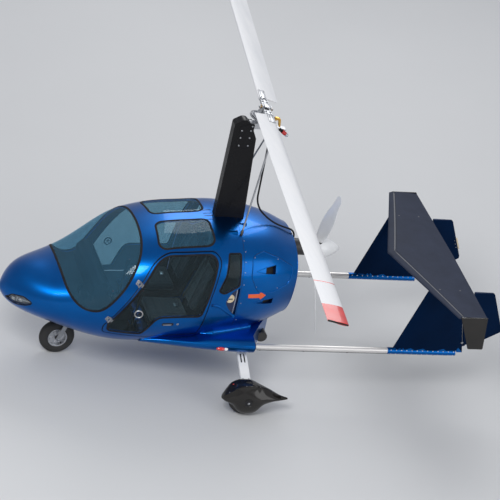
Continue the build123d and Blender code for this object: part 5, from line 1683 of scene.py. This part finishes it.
for number, (x, up, r) in enumerate(DIALS):
    place = on_panel(x, up)
    lathe(f"dial_bezel_{number}", [(r - 5, 0), (r, 0), (r, 6), (r - 2, 8), (r - 5, 6)], "dark_metal", place,
          closed=True)
    lathe(f"dial_face_{number}", disc(r - 4, -1, 1.5), "gloss_black", place)
    for k in range(9):
        tick = place @ turned(-120 + 30 * k, "Z") @ moved(0, r * 0.72, 1.8)
        block(f"dial_tick_{number}_{k}", (1.6, r * 0.16, 0.8), "white", tick, 0)
    needle = place @ turned(35 + 47 * number, "Z") @ moved(0, r * 0.28, 2.6)
    mat = "orange" if number in ORANGE_NEEDLES else "white"
    block(f"dial_needle_{number}", (2.4, r * 0.62, 1.0), mat, needle, 0.3)
for side in (1, -1):
    place = on_panel(side * 88, 104)
    block(f"panel_screen_frame_{side + 1}", (142, 104, 12), "trim_black", place, 3)
    block(f"panel_screen_{side + 1}", (122, 84, 4), "screen", place @ moved(0, 0, 5), 0.6)
    for k in range(5):
        knob = on_panel(side * (34 + 27 * k), 36)
        lathe(f"panel_knob_{side + 1}_{k}", PANEL_KNOB, "dark_metal", knob, sides=18)


# Cabin: sticks, pedals and levers

# A stick's foot and head: station, height
STICK_FOOT, STICK_HEAD = (1330, 443), (1370, 900)
STICK_GRIP = [(0, -118), (15, -118), (18, -112), (17, -96), (19.5, -80), (18, -62), (20, -44), (18.5, -26),
              (21, -10), (22, 4), (16, 14), (0, 16)]
STICK_BUTTON = [(0, 0), (6, 0), (6, 5), (0, 6)]
STICK_BOOT = [(0, 1)]
for k in range(6):
    STICK_BOOT += [(62 - 7 * k, 2 + 13 * k), (53 - 7 * k, 8 + 13 * k)]
STICK_BOOT += [(13, 82), (0, 82)]
# Distance out, station, lean in degrees, the knob's finish
LEVERS = ((-30, 1120, 18, "dark_metal"), (24, 1160, 6, "red"), (-22, 1240, 24, "steel"))
LEVER_KNOB = [(0, -10), (9, -8), (12, 0), (9, 9), (0, 11)]
LEVER_LENGTH, PEDAL_OUT = 64, 62
for side in (1, -1):
    low, high = (Vector((side * SEAT_OUT, s - LENGTH / 2, z)) for s, z in (STICK_FOOT, STICK_HEAD))
    way = (high - low).normalized()
    grip = frame_on(high / 1000, way, (1, 0, 0))
    lathe(f"stick_grip_{side + 1}", STICK_GRIP, "seal", grip)
    block(f"stick_head_{side + 1}", (34, 26, 30), "trim_black", grip @ moved(0, 4, 8), 6)
    lathe(f"stick_button_{side + 1}", STICK_BUTTON, "red", grip @ moved(7, 8, 22), sides=18)
    lathe(f"stick_boot_{side + 1}", STICK_BOOT, "seal", frame_on(low / 1000, way, (1, 0, 0)))
    for foot in (1, -1):
        x = side * 262 + foot * PEDAL_OUT
        block(f"pedal_{side + 1}_{foot + 1}", (72, 8, 96), "dark_metal", cad_frame(x, 930, 560, -22), 3)
        pipe(f"pedal_arm_{side + 1}_{foot + 1}", [(x, 935 - LENGTH / 2, 520), (x, 950 - LENGTH / 2, 452)], 7,
             "steel")
for number, (x, s, lean, mat) in enumerate(LEVERS):
    low = Vector((x, s - LENGTH / 2, 872 - (s - 965) * 1.03))
    high = low + Vector((0, math.sin(math.radians(lean)), math.cos(math.radians(lean)))) * LEVER_LENGTH
    pipe(f"console_lever_{number}", [low, high], 4, "steel")
    lathe(f"console_knob_{number}", LEVER_KNOB, mat, Matrix.Translation(high / 1000), sides=20)
block("dash_glare_lip", (820, 22, 12), "seal", cad_frame(0, 968, 1072, -28), 4)


# Finishes of the CAD pieces

FINISH = {
    "alloy": ("rotor_head", "rotor_hub_bar", "nose_rim", "main_rim_left", "main_rim_right", "firewall"),
    "blade_white": ("rotor_blade_left", "rotor_blade_right"),
    "cloth": ("seat_cushions",),
    "dark_grey": ("stabilizer", "nose_leg"),
    "dark_metal": ("engine_block", "silencer"),
    "deep_navy": ("tail_fins", "rudder_left", "rudder_right"),
    "gloss_black": ("wheel_spats", "end_plates"),
    "lens": ("wing_lights",),
    "satin": ("tail_booms",),
    "seal": ("drive_cable",),
    "steel": ("rotor_tower", "nose_fork", "cabin_frame", "control_rods", "door_hinges", "hinge_leaves_left",
              "hinge_leaves_right"),
    "trim_black": ("cabin_floor", "instrument_panel", "control_sticks", "seats"),
    "tyre": ("nose_tyre", "main_tyre_left", "main_tyre_right"),
    "weave": ("mast",),
    "white": ("gear_legs", "propeller", "spinner"),
}
SLEEVE_TOP = 0.606
for finish, names in FINISH.items():
    for name in names:
        NODES[name].data.materials.clear()
        NODES[name].data.materials.append(MATS[finish])
fins = NODES["tail_fins"]
fins.data.materials.append(MATS["blue"])
for poly in fins.data.polygons:
    if (fins.matrix_world @ poly.center).z < SLEEVE_TOP:
        poly.material_index = 1


# Stage, light and camera

FLOOR_HALF = 60.0
mesh = bpy.data.meshes.new("floor")
corners = [(x * FLOOR_HALF, y * FLOOR_HALF, 0) for x, y in ((-1, -1), (1, -1), (1, 1), (-1, 1))]
mesh.from_pydata(corners, [], [(0, 1, 2, 3)])
floor = bpy.data.objects.new("floor", mesh)
scene.collection.objects.link(floor)
paint = surface("floor_paint", (0.60, 0.605, 0.61), (0.62, 0.625, 0.63), (0.6, 0.7), 0.3, bump=0.02)
mesh.materials.append(paint)

world = bpy.data.worlds.new("studio")
scene.world = world
world.use_nodes = True
background = next(n for n in world.node_tree.nodes if n.type == "BACKGROUND")
background.inputs["Color"].default_value = (0.9, 0.93, 1.0, 1)
background.inputs["Strength"].default_value = 0.5

TARGET = Vector((0, 0, 1.2))
# Name, place in metres, power, size
LIGHTS = (("key", (9, -7, 11), 1050, 5), ("fill", (10, 8, 5), 300, 8), ("back", (-8, 3, 9), 420, 6))
for name, place, power, size in LIGHTS:
    data = bpy.data.lights.new(name, "AREA")
    data.energy, data.size = power, size
    lamp = bpy.data.objects.new(name, data)
    lamp.location = place
    lamp.rotation_euler = (TARGET - Vector(place)).to_track_quat("-Z", "Y").to_euler()
    scene.collection.objects.link(lamp)

# The camera's right, up and back, and its place
CAMERA_AXES = ((0.24956612, 0.94946758, 0.1903367), (-0.51750646, -0.03536292, 0.85494826),
               (0.81847652, -0.31186659, 0.48253022))
camera = bpy.data.objects.new("camera", bpy.data.cameras.new("camera"))
scene.collection.objects.link(camera)
pose = Matrix(CAMERA_AXES).transposed().to_4x4()
pose.translation = (30.2836, -11.5704, 19.1106)
camera.matrix_world = pose
camera.data.sensor_width = 36
camera.data.lens = 266.4
camera.data.clip_end = 300
scene.camera = camera
scene.view_settings.view_transform = "Standard"
